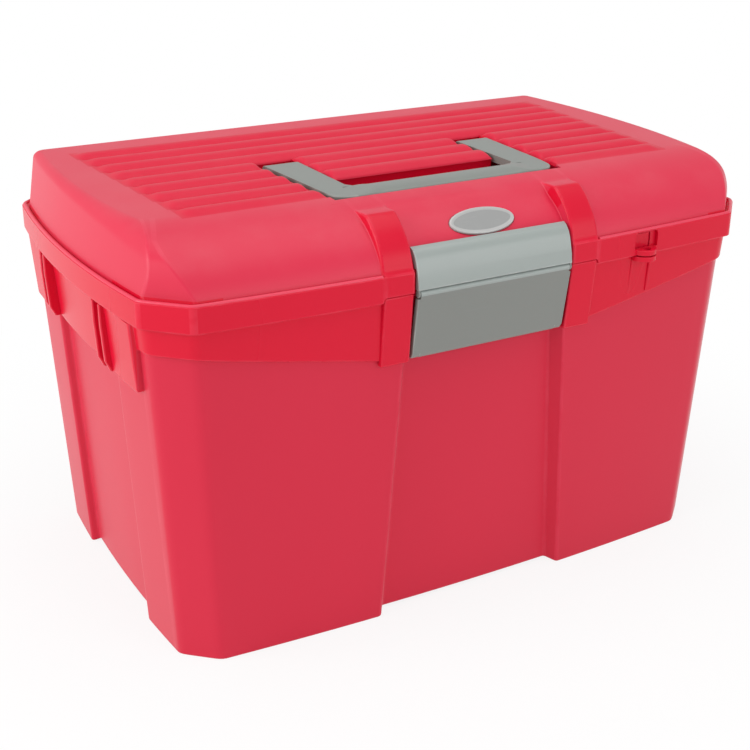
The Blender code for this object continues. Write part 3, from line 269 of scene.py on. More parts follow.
class Effects:
    """The shader groups that the finishes share, each built once."""

    def __init__(self) -> None:
        """Build every group."""
        self.grain = grain_group()
        self.wear_and_highlight = wear_and_highlight_group()
        self.dust = dust_group()
        self.scuff = scuff_group()

    @staticmethod
    def place(build: Tree, group: NodeTree,
              values: Dict[str, object]) -> Dict[str, NodeSocket]:
        """Put a group in a material and return its outputs by name."""
        node = build.add("ShaderNodeGroup", values, node_tree=group)
        return {output.name: output for output in node.outputs}


def new_material(name: str) -> Tuple[Material, Tree, bpy.types.Node,
                                     NodeSocket]:
    """Make a material with nodes.

    Args:
        name: the material's name.

    Returns:
        The material, its tree's builder, its Principled shader and the object coordinates.
    """
    material = bpy.data.materials.new(name)
    material.use_nodes = True
    build = Tree(material.node_tree)
    shader = material.node_tree.nodes["Principled BSDF"]
    return material, build, shader, build.add("ShaderNodeTexCoord").outputs["Object"]


@dataclass(frozen=True)
class PlasticFinish:
    """Injection-moulded plastic with mould grain, flow mottle, rubbed edges with a painted
    highlight, and dust.
    """

    name: str
    colour: Colour
    deep: Colour
    # pale and edge: colour and amount of the rubbed edges, which also carry a painted highlight;
    # pale also colours the scuffs.
    pale: Colour
    roughness: float
    grain: float = 2200.0
    grain_depth: float = 0.00004
    edge: float = 0.40
    dust: float = 0.02
    scuffs: float = 0.05
    sheen: float = 0.0
    sheen_rough: float = 0.35
    specular: float = 0.5
    bump: float = 0.55
    mottle_rough: float = 0.05
    mottle_base: float = 0.02
    worn_polish: float = 0.10
    dust_rough: float = 0.5
    dust_colour: Colour = (0.74, 0.70, 0.68)
    scuff_pale: float = 0.6
    scuff_depth: float = 0.3

    def build(self, effects: Effects) -> Material:
        """Make the material.

        Args:
            effects: the shared shader groups.

        Returns:
            The finished material.
        """
        material, build, shader, place = new_material(self.name)
        edge = build.add("ShaderNodeAttribute", attribute_name=WORN_AND_HIGHLIT_EDGE).outputs["Fac"]
        grain = Effects.place(build, effects.grain, {"Vector": place, "Grain": self.grain})
        worn_and_highlit = Effects.place(build, effects.wear_and_highlight, {"Vector": place, "Edge": edge,
                                                   "Amount": self.edge})["Mask"]
        dust = Effects.place(build, effects.dust, {"Vector": place, "Amount": self.dust})["Mask"]
        scuff = Effects.place(build, effects.scuff, {"Vector": place,
                                                     "Amount": self.scuffs})["Mask"]
        colour = build.mix(grain["Mottle"], self.deep, self.colour)
        # Rounded edges mix toward the pale colour: partly rubbed, partly a painted highlight.
        colour = build.mix(worn_and_highlit, colour, self.pale)
        colour = build.mix(build.times(scuff, self.scuff_pale), colour, self.pale)
        colour = build.mix(dust, colour, self.dust_colour)
        build.feed(shader.inputs["Base Color"], colour)
        rough = build.plus(build.times(grain["Mottle"], self.mottle_rough),
                           self.roughness - self.mottle_base)
        rough = build.minus(rough, build.times(worn_and_highlit, self.worn_polish))
        rough = build.plus(rough, build.times(dust, self.dust_rough), clamp=True)
        build.feed(shader.inputs["Roughness"], rough)
        shader.inputs["Specular IOR Level"].default_value = self.specular
        shader.inputs["Sheen Weight"].default_value = self.sheen
        shader.inputs["Sheen Roughness"].default_value = self.sheen_rough
        height = build.minus(grain["Height"], build.times(scuff, self.scuff_depth))
        bump = build.add("ShaderNodeBump", {"Height": height, "Strength": self.bump,
                                            "Distance": self.grain_depth})
        build.feed(shader.inputs["Normal"], bump.outputs[0])
        return material


@dataclass(frozen=True)
class SteelFinish:
    """Drawn steel wire with fine lines along its length."""

    name: str
    colour: Colour
    dull: Colour
    roughness: float

    def build(self, effects: Effects) -> Material:
        """Make the material.

        Args:
            effects: not used.

        Returns:
            The finished material.
        """
        material, build, shader, place = new_material(self.name)
        drawn = build.add("ShaderNodeMapping", {"Vector": place,
                                                "Scale": (0.03, 1.0, 1.0)}).outputs[0]
        lines = build.noise(drawn, 5200.0, 2.0, 0.6)
        spots = build.ramp(build.noise(place, 420.0, 4.0, 0.7), 0.52, 0.70)
        build.feed(shader.inputs["Base Color"], build.mix(spots, self.colour, self.dull))
        build.feed(shader.inputs["Roughness"],
                   build.plus(build.times(spots, 0.25), self.roughness))
        shader.inputs["Metallic"].default_value = 1.0
        bump = build.add("ShaderNodeBump", {"Height": lines, "Strength": 0.4,
                                            "Distance": 0.00001})
        build.feed(shader.inputs["Normal"], bump.outputs[0])
        return material


class Palette:
    """Every finish of the box."""

    def __init__(self) -> None:
        """Build the finishes from the shared effects."""
        effects = Effects()
        self.tub = PlasticFinish(
            "tub_red", (0.645, 0.017, 0.051), (0.625, 0.015, 0.047),
            (0.69, 0.04, 0.08), 0.42, specular=0.28, sheen=0.14).build(effects)
        self.lid = PlasticFinish(
            "lid_red", (0.69, 0.02, 0.062), (0.67, 0.018, 0.057),
            (0.74, 0.05, 0.1), 0.38, specular=0.38, sheen=0.05).build(effects)
        self.ribs = PlasticFinish(
            "rib_red", (0.68, 0.012, 0.046), (0.662, 0.011, 0.043),
            (0.74, 0.05, 0.1), 0.4, dust=0.01, scuffs=0.05, specular=0.22).build(effects)
        # The bead's paler, glossier red is a painted highlight line along the rim's top edge.
        self.bead = PlasticFinish(
            "bead_red", (0.76, 0.045, 0.095), (0.745, 0.042, 0.09),
            (0.8, 0.11, 0.17), 0.3, dust=0.0, specular=0.45).build(effects)
        self.band = PlasticFinish(
            "band_red", (0.682, 0.004, 0.03), (0.666, 0.004, 0.028),
            (0.76, 0.05, 0.09), 0.27, grain=2800.0, grain_depth=0.00002,
            dust=0.01, specular=0.22).build(effects)
        self.tray = PlasticFinish(
            "tray_red", (0.62, 0.024, 0.052), (0.585, 0.02, 0.046),
            (0.7, 0.055, 0.09), 0.46).build(effects)
        self.grey = PlasticFinish(
            "handle_grey", (0.222, 0.242, 0.222), (0.208, 0.227, 0.208),
            (0.4, 0.415, 0.395), 0.32, grain=3000.0, dust=0.01, scuffs=0.06).build(effects)
        self.flap = PlasticFinish(
            "flap_grey", (0.216, 0.228, 0.211), (0.208, 0.219, 0.203),
            (0.47, 0.485, 0.465), 0.34, grain=3000.0, scuffs=0.06).build(effects)
        self.pale_grey = PlasticFinish(
            "latch_grey", (0.326, 0.364, 0.348), (0.316, 0.353, 0.338),
            (0.56, 0.59, 0.575), 0.26, grain=3000.0, dust=0.01, scuffs=0.04).build(effects)
        self.plate = PlasticFinish(
            "plate_grey", (0.45, 0.45, 0.44), (0.398, 0.4, 0.392),
            (0.64, 0.645, 0.64), 0.3, grain=3600.0, grain_depth=0.00002,
            dust=0.05, scuffs=0.45).build(effects)
        self.steel = SteelFinish(
            "drawn_steel", (0.56, 0.56, 0.57), (0.33, 0.315, 0.3), 0.28).build(effects)


# Shared sizes of the closed box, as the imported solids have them

@dataclass(frozen=True)
class Plan:
    """Eight-sided outline: four long sides that bow outward and four cut corners."""

    half_x: float
    half_y: float
    cut_x: float
    cut_y: float
    bow_front: float
    bow_end: float

    @property
    def corner_x(self) -> float:
        """Place along the front where the corner cut begins."""
        return self.half_x - self.cut_x

    @property
    def corner_y(self) -> float:
        """Place along an end where the corner cut begins."""
        return self.half_y - self.cut_y

    def front(self, x: float) -> float:
        """Distance of the front or back side from the middle plane."""
        return self.half_y + self.bow_front * (1.0 - (x / self.corner_x) ** 2)

    def end(self, y: float) -> float:
        """Distance of an end side from the middle plane."""
        return self.half_x + self.bow_end * (1.0 - (y / self.corner_y) ** 2)

    def inset(self, amount: float) -> "Plan":
        """The outline moved inward by one wall or gap."""
        trim = amount * (1.0 - math.tan(math.pi / 8))
        return Plan(self.half_x - amount, self.half_y - amount, self.cut_x - trim,
                    self.cut_y - trim, self.bow_front, self.bow_end)


@dataclass(frozen=True)
class Bay:
    """Recessed middle of one side, with sloping flanks and swollen sides beside it."""

    half: float
    flank: float
    depth: float
    closing: float = 0.0
    swell: float = 0.0

    def edge(self, z: float) -> float:
        """Half width at one height, at the side's own face."""
        return self.half - self.closing * z

    def floor(self, z: float) -> float:
        """Half width at one height, on the bay's floor."""
        return self.edge(z) - self.flank

    def proud(self, place: float) -> float:
        """How far the side stands out beside the bay, up to the fold near the corner."""
        share = max(0.0, place - self.half) / (FOLD_Y - self.half)
        return self.swell * share if place <= FOLD_Y else 0.0

    def grown(self, amount: float) -> "Bay":
        """The same bay seen from inside a wall."""
        return Bay(self.half + amount, self.flank, self.depth, self.closing, self.swell)


RIM = Plan(0.1924, 0.1203, 0.0209, 0.0209, 0.0062, 0.00729)
BAND_Z = 0.1975
RIM_Z = 0.2118
TOP_Z = 0.2424
TUB_TOP_Z = 0.1965
SEAT = 0.0003
LID_WALL = 0.0022
LIP_IN = 0.0028
SKIRT_WALL = 0.0023
LATCH_BAY_HALF = 0.0520
LATCH_BAY_SET = 0.0037
PILASTER_IN = 0.0510
PILASTER_OUT = 0.0685
UPRIGHT_SPLIT = 0.0028
UPRIGHT_INSET = 0.0005
FRONT_SHARES = (0.86, 0.735, 0.59, 0.443, 0.31)
END_HALF = 0.0484
END_FLANK = 0.0008
END_SWELL = 0.0026
FOLD_Y = 0.0870
EYE_X = 0.1040
EYE_R = 0.0077
EYE_HOLE = 0.0025
HINGE_X = 0.1000
HINGE_Y = 0.1291
HINGE_Z = 0.1995
HINGE_BARREL = 0.0034
HINGE_BORE = 0.0018
PAST = 0.002
OVER_TOP = TOP_Z + 0.010


@dataclass(frozen=True)
class Node3:
    """One point of a section, and how far its corner is rounded along each side."""

    x: float
    y: float
    z: float
    reach: float = 0.0

    @property
    def at(self) -> Vector:
        """The point as a vector."""
        return Vector((self.x, self.y, self.z))


Run = List[Tuple[Vector, int]]


def round_line(points: Sequence[Vector], reaches: Sequence[float], closed: bool,
               steps: int) -> Run:
    """Round the corners of a line of points.

    Args:
        points: the line.
        reaches: how far each corner's rounding runs, 0 for a corner that stays.
        closed: whether the last point joins the first.
        steps: pieces in each rounding.

    Returns:
        The new points, each with its small rounding's number, or -1 outside of one.
    """
    made: Run = []
    count = len(points)
    for i, point in enumerate(points):
        inner = closed or 0 < i < count - 1
        if reaches[i] <= 0.0 or not inner:
            made.append((point, -1))
            continue
        sides = []
        for other in (points[i - 1], points[(i + 1) % count]):
            span = (other - point).length
            share = min(reaches[i], 0.45 * span) / span if span > 1e-7 else 0.0
            sides.append(point.lerp(other, share))
        mark = i if reaches[i] < 0.0020 else -1
        for k in range(steps + 1):
            t = k / steps
            made.append((sides[0].lerp(point, t).lerp(point.lerp(sides[1], t), t), mark))
    return made


def soft_loft(rings: Sequence[Sequence[Node3]], reaches: Sequence[float],
              steps: int = 4) -> BMesh:
    """Skin a closed body through sections, with rounded corners and rounded edges.

    Args:
        rings: the sections, all with as many points, capped at both ends.
        reaches: how far the edge at each section is rounded.
        steps: pieces in each rounding.

    Returns:
        The mesh, with its small roundings marked as rubbed edges that also get a painted edge
        highlight.
    """
    runs = [round_line([node.at for node in ring], [node.reach for node in ring], True,
                       steps) for ring in rings]
    marks = [mark for _, mark in runs[0]]
    columns = [round_line([run[i][0] for run in runs], reaches, False, steps)
               for i in range(len(marks))]
    bm = bmesh.new()
    layer = bm.faces.layers.float.new(WORN_AND_HIGHLIT_EDGE)
    loops = [[bm.verts.new(column[r][0]) for column in columns]
             for r in range(len(columns[0]))]
    levels = [mark for _, mark in columns[0]]
    count = len(columns)
    for r in range(len(loops) - 1):
        for i in range(count):
            j = (i + 1) % count
            face = bm.faces.new((loops[r][i], loops[r][j], loops[r + 1][j], loops[r + 1][i]))
            across = marks[i] >= 0 and marks[i] == marks[j]
            upward = levels[r] >= 0 and levels[r] == levels[r + 1]
            face[layer] = 1.0 if across or upward else 0.0
    bm.faces.new(reversed(loops[0]))
    bm.faces.new(loops[-1])
    bmesh.ops.recalc_face_normals(bm, faces=bm.faces)
    return bm


def add_profile(bm: BMesh, outline: Sequence[Pair], along: str,
                start: float, end: float) -> None:
    """Extrude a closed outline in the two other axes along X, Y or Z.

    Args:
        bm: the mesh that gets it.
        outline: the outline's points.
        along: X, Y or Z.
        start: where it starts along that axis.
        end: where it ends.
    """
    place = {"X": lambda u, v: (start, u, v), "Y": lambda u, v: (u, start, v),
             "Z": lambda u, v: (u, v, start)}[along]
    face = bm.faces.new([bm.verts.new(place(u, v)) for u, v in outline])
    moved = bmesh.ops.extrude_face_region(bm, geom=[face])
    axis = {"X": Vector((1, 0, 0)), "Y": Vector((0, 1, 0)), "Z": Vector((0, 0, 1))}[along]
    fresh = [item for item in moved["geom"] if isinstance(item, bmesh.types.BMVert)]
    bmesh.ops.translate(bm, verts=fresh, vec=axis * (end - start))
    bmesh.ops.recalc_face_normals(bm, faces=bm.faces)


def add_box(bm: BMesh, x: Pair, y: Pair,
            z: Pair) -> None:
    """A box between pairs of coordinates along each axis.

    Args:
        bm: the mesh that gets it.
        x: its ends along X.
        y: its ends along Y.
        z: its ends along Z.
    """
    size = Matrix.Diagonal((x[1] - x[0], y[1] - y[0], z[1] - z[0], 1.0))
    middle = Vector(((x[0] + x[1]) / 2, (y[0] + y[1]) / 2, (z[0] + z[1]) / 2))
    bmesh.ops.create_cube(bm, size=1.0, matrix=Matrix.Translation(middle) @ size)


def add_cylinder(bm: BMesh, radius: float, start: Point, end: Point,
                 segments: int = 40) -> None:
    """A closed cylinder between two points.

    Args:
        bm: the mesh that gets it.
        radius: its radius.
        start: one end.
        end: the other end.
        segments: its sides.
    """
    low = Vector(start)
    along = Vector(end) - low
    turn = along.to_track_quat("Z", "Y").to_matrix().to_4x4()
    place = Matrix.Translation(low + along / 2) @ turn
    bmesh.ops.create_cone(bm, cap_ends=True, segments=segments, radius1=radius,
                          radius2=radius, depth=along.length, matrix=place)


def add_object(name: str, data: bpy.types.ID) -> Object:
    """Put a new object in the scene.

    Args:
        name: the object's name.
        data: its mesh, light or camera.

    Returns:
        The new object, at the origin.
    """
    piece = bpy.data.objects.new(name, data)
    bpy.context.scene.collection.objects.link(piece)
    return piece


def shaded(name: str, bm: BMesh, material: Material,
           sharp: float = 38.0) -> Object:
    """Turn a bmesh in the box's frame into a smooth-shaded object at the origin.

    Args:
        name: the piece's name.
        bm: the mesh, which is freed.
        material: the piece's finish.
        sharp: crease angle in degrees above which an edge stays sharp.

    Returns:
        The new object.
    """
    mesh = bpy.data.meshes.new(name)
    bm.to_mesh(mesh)
    bm.free()
    mesh.materials.append(material)
    mesh.shade_smooth()
    mesh.set_sharp_from_angle(angle=math.radians(sharp))
    return add_object(name, mesh)


def carve(target: BMesh, tools: Sequence[Tuple[BMesh, str]]) -> BMesh:
    """Cut or join helper solids with a mesh, one after another.

    Args:
        target: the mesh, which is freed.
        tools: each helper with DIFFERENCE or UNION; the helpers are freed.

    Returns:
        The new mesh.
    """
    helpers = []
    for bm in [target] + [tool for tool, _ in tools]:
        mesh = bpy.data.meshes.new("helper")
        bm.to_mesh(mesh)
        bm.free()
        helpers.append(add_object("helper", mesh))
    for helper, (_, operation) in zip(helpers[1:], tools):
        modifier = helpers[0].modifiers.new("carve", "BOOLEAN")
        modifier.operation = operation
        modifier.solver = "EXACT"
        modifier.object = helper
    graph = bpy.context.evaluated_depsgraph_get()
    mesh = bpy.data.meshes.new_from_object(helpers[0].evaluated_get(graph))
    made = bmesh.new()
    made.from_mesh(mesh)
    for helper in helpers:
        bpy.data.objects.remove(helper, do_unlink=True)
    bmesh.ops.remove_doubles(made, verts=made.verts, dist=2e-6)
    return made


def crisp_edges(bm: BMesh, width: float, angle: float) -> List[bmesh.types.BMEdge]:
    """Outward edges that a rounding of one width can run along within their faces.

    Args:
        bm: a closed mesh.
        width: the rounding's width in metres.
        angle: the least angle between the two faces, in degrees.

    Returns:
        The edges to round.
    """
    room = 2.2 * width
    found = []
    for edge in bm.edges:
        if len(edge.link_faces) != 2 or not edge.is_convex:
            continue
        if edge.calc_face_angle() < math.radians(angle):
            continue
        near = [other for vert in edge.verts for other in vert.link_edges]
        if min(other.calc_length() for other in near) > room:
            found.append(edge)
    return found


def round_edges(bm: BMesh, widths: Sequence[float], angle: float = 26.0) -> None:
    """Round a mesh's crisp edges, widest first where there is room, and mark them.

    Args:
        bm: a closed mesh.
        widths: rounding widths in metres, from wide to narrow.
        angle: the least crease that gets rounded, in degrees.
    """
    layer = bm.faces.layers.float.get(WORN_AND_HIGHLIT_EDGE) or bm.faces.layers.float.new(WORN_AND_HIGHLIT_EDGE)
    for width in widths:
        edges = [edge for edge in crisp_edges(bm, width, angle)
                 if not any(face[layer] > 0.0 for face in edge.link_faces)]
        if not edges:
            continue
        made = bmesh.ops.bevel(bm, geom=edges, offset=width, segments=3, profile=0.5,
                               affect="EDGES", clamp_overlap=False)
        for face in made["faces"]:
            face[layer] = 1.0


def add_zone(piece: Object, material: Material,
             inside: Callable[[Vector], bool]) -> Object:
    """Give the faces of one zone another finish.

    Args:
        piece: the piece.
        material: the zone's finish.
        inside: whether a face's centre lies in the zone.

    Returns:
        The same piece.
    """
    piece.data.materials.append(material)
    index = len(piece.data.materials) - 1
    for face in piece.data.polygons:
        if inside(face.center):
            face.material_index = index
    return piece


def even_out(piece: Object) -> Object:
    """Weight a piece's normals by face, so that flat faces stay flat beside roundings.

    Args:
        piece: the piece.

    Returns:
        The same piece.
    """
    weighted = piece.modifiers.new("even_faces", "WEIGHTED_NORMAL")
    weighted.keep_sharp = True
    return piece


def copy_node(node: str) -> BMesh:
    """Copy a CAD node's mesh with its points merged and its flat faces whole.

    Args:
        node: the CAD node's name.

    Returns:
        The mesh.
    """
    bm = bmesh.new()
    bm.from_mesh(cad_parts[node].data)
    bmesh.ops.remove_doubles(bm, verts=bm.verts, dist=2e-6)
    bmesh.ops.dissolve_limit(bm, angle_limit=math.radians(1.0), verts=bm.verts,
                             edges=bm.edges)
    return bm


def soften(node: str, material: Material, widths: Sequence[float],
           angle: float = 26.0) -> Object:
    """Copy a CAD node with rounded edges.

    Args:
        node: the CAD node's name.
        material: the finish.
        widths: rounding widths in metres, from wide to narrow.
        angle: the least crease that gets rounded, in degrees.

    Returns:
        The softened copy, with its rounded faces marked as rubbed edges that also get a painted
        edge highlight.
    """
    bm = copy_node(node)
    round_edges(bm, widths, angle)
    return even_out(shaded(f"{node}_moulded", bm, material))


def sink_field(piece: Object, rim: float, depth: float, colour: Colour) -> None:
    """Sink a plate's face inside a raised rim and darken it.

    Args:
        piece: the plate.
        rim: the rim's width.
        depth: how far the field lies below the rim.
        colour: the field's base colour.
    """
    bm = bmesh.new()
    bm.from_mesh(piece.data)
    front = max((face for face in bm.faces if face.normal.z > 0.2), key=lambda f: f.calc_area())
    made = bmesh.ops.inset_region(bm, faces=[front], thickness=rim, depth=0.0)
    bmesh.ops.inset_region(bm, faces=[front], thickness=depth, depth=-depth)
    front.material_index = 1
    bm.to_mesh(piece.data)
    bm.free()
    LOG.info("%s has a rim of %d faces", piece.name, len(made["faces"]))
    field = piece.data.materials[0].copy()
    field.name = "plate_field"
    field.node_tree.nodes["Principled BSDF"].inputs["Roughness"].default_value = 0.4
    for node in field.node_tree.nodes:
        if node.type == "MIX" and not node.inputs[6].is_linked and not node.inputs[7].is_linked:
            node.inputs[7].default_value = (*colour, 1.0)
            node.inputs[6].default_value = (*[0.93 * part for part in colour], 1.0)
    piece.data.materials.append(field)


def settle(piece: Object, body: Body, slot: Slot, *nodes: str) -> Object:
    """Let a piece ride on its body and stand for CAD nodes.

    Args:
        piece: the finished piece.
        body: the body that it moves with.
        slot: not used.
        nodes: the CAD nodes that it replaces.

    Returns:
        The same piece.
    """
    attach(piece, body.value)
    if nodes:
        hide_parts(*nodes)
    LOG.info("%s rides on %s, %d faces", piece.name, body.value, len(piece.data.polygons))
    return piece


def bake_tree(piece: Object, tree: NodeTree,
              values: Dict[str, object]) -> Object:
    """Run a geometry tree on an object and keep the result as a plain mesh.

    Args:
        piece: the object that the tree starts from.
        tree: the geometry tree.
        values: the tree's inputs by name.

    Returns:
        The same object with the evaluated mesh and no modifier.
    """
    modifier = piece.modifiers.new(tree.name, "NODES")
    modifier.node_group = tree
    sockets = {item.name: item.identifier for item in tree.interface.items_tree
               if item.item_type == "SOCKET" and item.in_out == "INPUT"}
    for name, value in values.items():
        modifier[sockets[name]] = value
    graph = bpy.context.evaluated_depsgraph_get()
    made = bpy.data.meshes.new_from_object(piece.evaluated_get(graph))
    piece.modifiers.remove(modifier)
    made.name = piece.name
    piece.data = made
    return piece


def sweep_tree() -> NodeTree:
    """Geometry tree that sweeps a round bead along the edges of a mesh path.

    Returns:
        The geometry tree.
    """
    tree, build, entry, leave = new_group(
        "Sweep Bead", "GeometryNodeTree",
        {"Path": (Socket.GEOMETRY, None), "Radius": (Socket.FLOAT, 0.0005),
         "Sides": (Socket.INT, 12), "Finish": (Socket.MATERIAL, None)},
        {"Mesh": Socket.GEOMETRY})
    curve = build.add("GeometryNodeMeshToCurve", {0: entry["Path"]}).outputs[0]
    ring = build.add("GeometryNodeCurvePrimitiveCircle", {"Resolution": entry["Sides"],
                                                          "Radius": entry["Radius"]})
    swept = build.add("GeometryNodeCurveToMesh", {"Curve": curve,
                                                  "Profile Curve": ring.outputs[0],
                                                  "Fill Caps": True}).outputs[0]
    smooth = build.add("GeometryNodeSetShadeSmooth", {0: swept}).outputs[0]
    real = build.add("GeometryNodeRealizeInstances", {0: smooth}).outputs[0]
    done = build.add("GeometryNodeSetMaterial", {0: real, "Material": entry["Finish"]})
    build.feed(leave["Mesh"], done.outputs[0])
    return tree


def rib_tree() -> NodeTree:
    """Geometry tree for a run of crowned ribs with V grooves between them. A rib blends
    into the lid's top over its fades and rounds off steeply over its stops.

    Returns:
        The geometry tree.
    """
    floats = ("First Y", "Pitch", "Low Front", "Low Back", "High Front", "High Back",
              "Fade Low", "Fade High", "Stop Low", "Stop High", "Flat Front", "Flat Back",
              "Crest Y", "Crest Bow", "Bow Reach", "Fall", "Base Z", "Height", "Groove", "Sole")
    tree, build, entry, leave = new_group(
        "Crowned Ribs", "GeometryNodeTree",
        {"Unused": (Socket.GEOMETRY, None), "Count": (Socket.INT, 5),
         **{label: (Socket.FLOAT, 0.0) for label in floats},
         "Steps": (Socket.INT, 48), "Arcs": (Socket.INT, 17), "Finish": (Socket.MATERIAL, None)},
        {"Mesh": Socket.GEOMETRY})
    plus, minus, times, calc = build.plus, build.minus, build.times, build.math

    def store(geometry: object, name: str, value: object, kind: str) -> object:
        """Keep a field on the points under a name."""
        values = {"Geometry": geometry, "Name": name, "Value": value}
        return build.add("GeometryNodeStoreNamedAttribute", values, data_type=kind,
                         domain="POINT").outputs[0]

    def read(name: str, kind: str = "FLOAT") -> object:
        """Read a stored field."""
        return build.add("GeometryNodeInputNamedAttribute", {"Name": name},
                         data_type=kind).outputs[0]

    line = build.add("GeometryNodeMeshLine", {"Count": entry["Count"]}).outputs[0]
    index = build.add("GeometryNodeInputIndex").outputs[0]
    last = minus(entry["Count"], 1.0)
    share = calc("DIVIDE", index, calc("MAXIMUM", 1.0, last))
    middle = times(entry["Pitch"], plus(index, 0.5))
    line = store(line, "rib_y", plus(entry["First Y"], middle), "FLOAT")
    for side in ("Low", "High"):
        front = entry[f"{side} Front"]
        spread = minus(entry[f"{side} Back"], front)
        reach = plus(front, times(spread, share))
        line = store(line, f"rib_{side.lower()}", reach, "FLOAT")
    first = times(entry["Flat Front"], calc("LESS_THAN", index, 0.5))
    final = times(entry["Flat Back"], calc("GREATER_THAN", index, minus(last, 0.5)))
    line = store(line, "rib_first", first, "FLOAT")
    line = store(line, "rib_final", final, "FLOAT")

    block = build.add("GeometryNodeMeshCube", {"Size": (2.0, 2.0, 2.0),
                                               "Vertices X": entry["Steps"],
                                               "Vertices Y": entry["Arcs"],
                                               "Vertices Z": 2}).outputs[0]
    block = store(block, "rib_place", build.add("GeometryNodeInputPosition").outputs[0],
                  "FLOAT_VECTOR")
    copies = build.add("GeometryNodeInstanceOnPoints", {"Points": line, "Instance": block})
    solid = build.add("GeometryNodeRealizeInstances", {0: copies.outputs[0]}).outputs[0]

    parts = build.add("ShaderNodeSeparateXYZ", {0: read("rib_place", "FLOAT_VECTOR")})
    along = calc("SINE", times(parts.outputs[0], math.pi / 2))
    across = parts.outputs[1]
    low, high = read("rib_low"), read("rib_high")
    spread = times(minus(high, low), times(plus(along, 1.0), 0.5))
    x = plus(low, spread)
    y = plus(read("rib_y"), times(across, times(entry["Pitch"], 0.5)))

    def ease(length: object, distance: object, steep: bool) -> object:
        """Rise from 0 to 1 over a length, or 1 throughout where the length is 0.

        Args:
            length: the length.
            distance: how far along it.
            steep: whether it rises like a quarter circle.

        Returns:
            The rise.
        """
        open_end = calc("LESS_THAN", length, 0.0001)
        ratio = calc("DIVIDE", distance, calc("MAXIMUM", length, 0.0001))
        ratio = plus(ratio, open_end, clamp=True)
        if steep:
            rest = minus(1.0, ratio)
            return calc("SQRT", minus(1.0, times(rest, rest)))
        turn = calc("COSINE", times(ratio, math.pi))
        return minus(0.5, times(turn, 0.5))

    from_low = minus(x, low)
    to_high = minus(high, x)
    fade = times(ease(entry["Fade Low"], from_low, False), ease(entry["Fade High"], to_high, False))
    stop = times(ease(entry["Stop Low"], from_low, True), ease(entry["Stop High"], to_high, True))
    front_half = times(read("rib_first"), calc("LESS_THAN", across, 0.0))
    back_half = times(read("rib_final"), calc("GREATER_THAN", across, 0.0))
    grooved = minus(1.0, plus(front_half, back_half))
    groove = times(entry["Groove"], grooved)
    crown = minus(1.0, calc("POWER", calc("ABSOLUTE", across), 2.3))
    swell = minus(1.0, times(across, across))
    swell = times(swell, swell)
    sunk = minus(1.0, grooved)
    arch = plus(times(crown, grooved), times(swell, sunk))
    arch = times(arch, stop)
    rise = times(arch, plus(entry["Height"], groove))
    lift = times(fade, minus(rise, groove))
    bow = calc("ABSOLUTE", calc("DIVIDE", x, entry["Bow Reach"]))
    bow = minus(1.0, calc("POWER", bow, 2.0))
    crest = plus(entry["Crest Y"], times(entry["Crest Bow"], bow))
    past = calc("MAXIMUM", 0.0, minus(times(y, -1.0), crest))
    lift = minus(lift, times(entry["Fall"], times(past, past)))
    upper = calc("GREATER_THAN", parts.outputs[2], 0.0)
    above = times(upper, plus(lift, entry["Sole"]))
    z = plus(entry["Base Z"], minus(above, entry["Sole"]))
    place = build.add("ShaderNodeCombineXYZ", {0: x, 1: y, 2: z}).outputs[0]
    shaped = build.add("GeometryNodeSetPosition", {"Geometry": solid,
                                                   "Position": place}).outputs[0]
    real = build.add("GeometryNodeRealizeInstances", {0: shaped}).outputs[0]
    done = build.add("GeometryNodeSetMaterial", {0: real, "Material": entry["Finish"]})
    build.feed(leave["Mesh"], done.outputs[0])
    return tree


def mirrored(half: Sequence[Node3]) -> List[Node3]:
    """A full side from its half as (place, outward, height): corner to middle and on.

    Args:
        half: the half side, from the corner to the middle.

    Returns:
        The whole side.
    """
    left = [Node3(-node.x, node.y, node.z, node.reach) for node in half]
    right = [node for node in reversed(half[:-1])]
    return left + right


class Level(str, Enum):
    """How the tub's sections place their height."""

    FLAT = "flat"
    FOOT = "foot"
    SKIRT = "skirt"
    SKIRT_TOP = "skirt_top"
    SHOULDER = "shoulder"
    LIP_FOOT = "lip_foot"


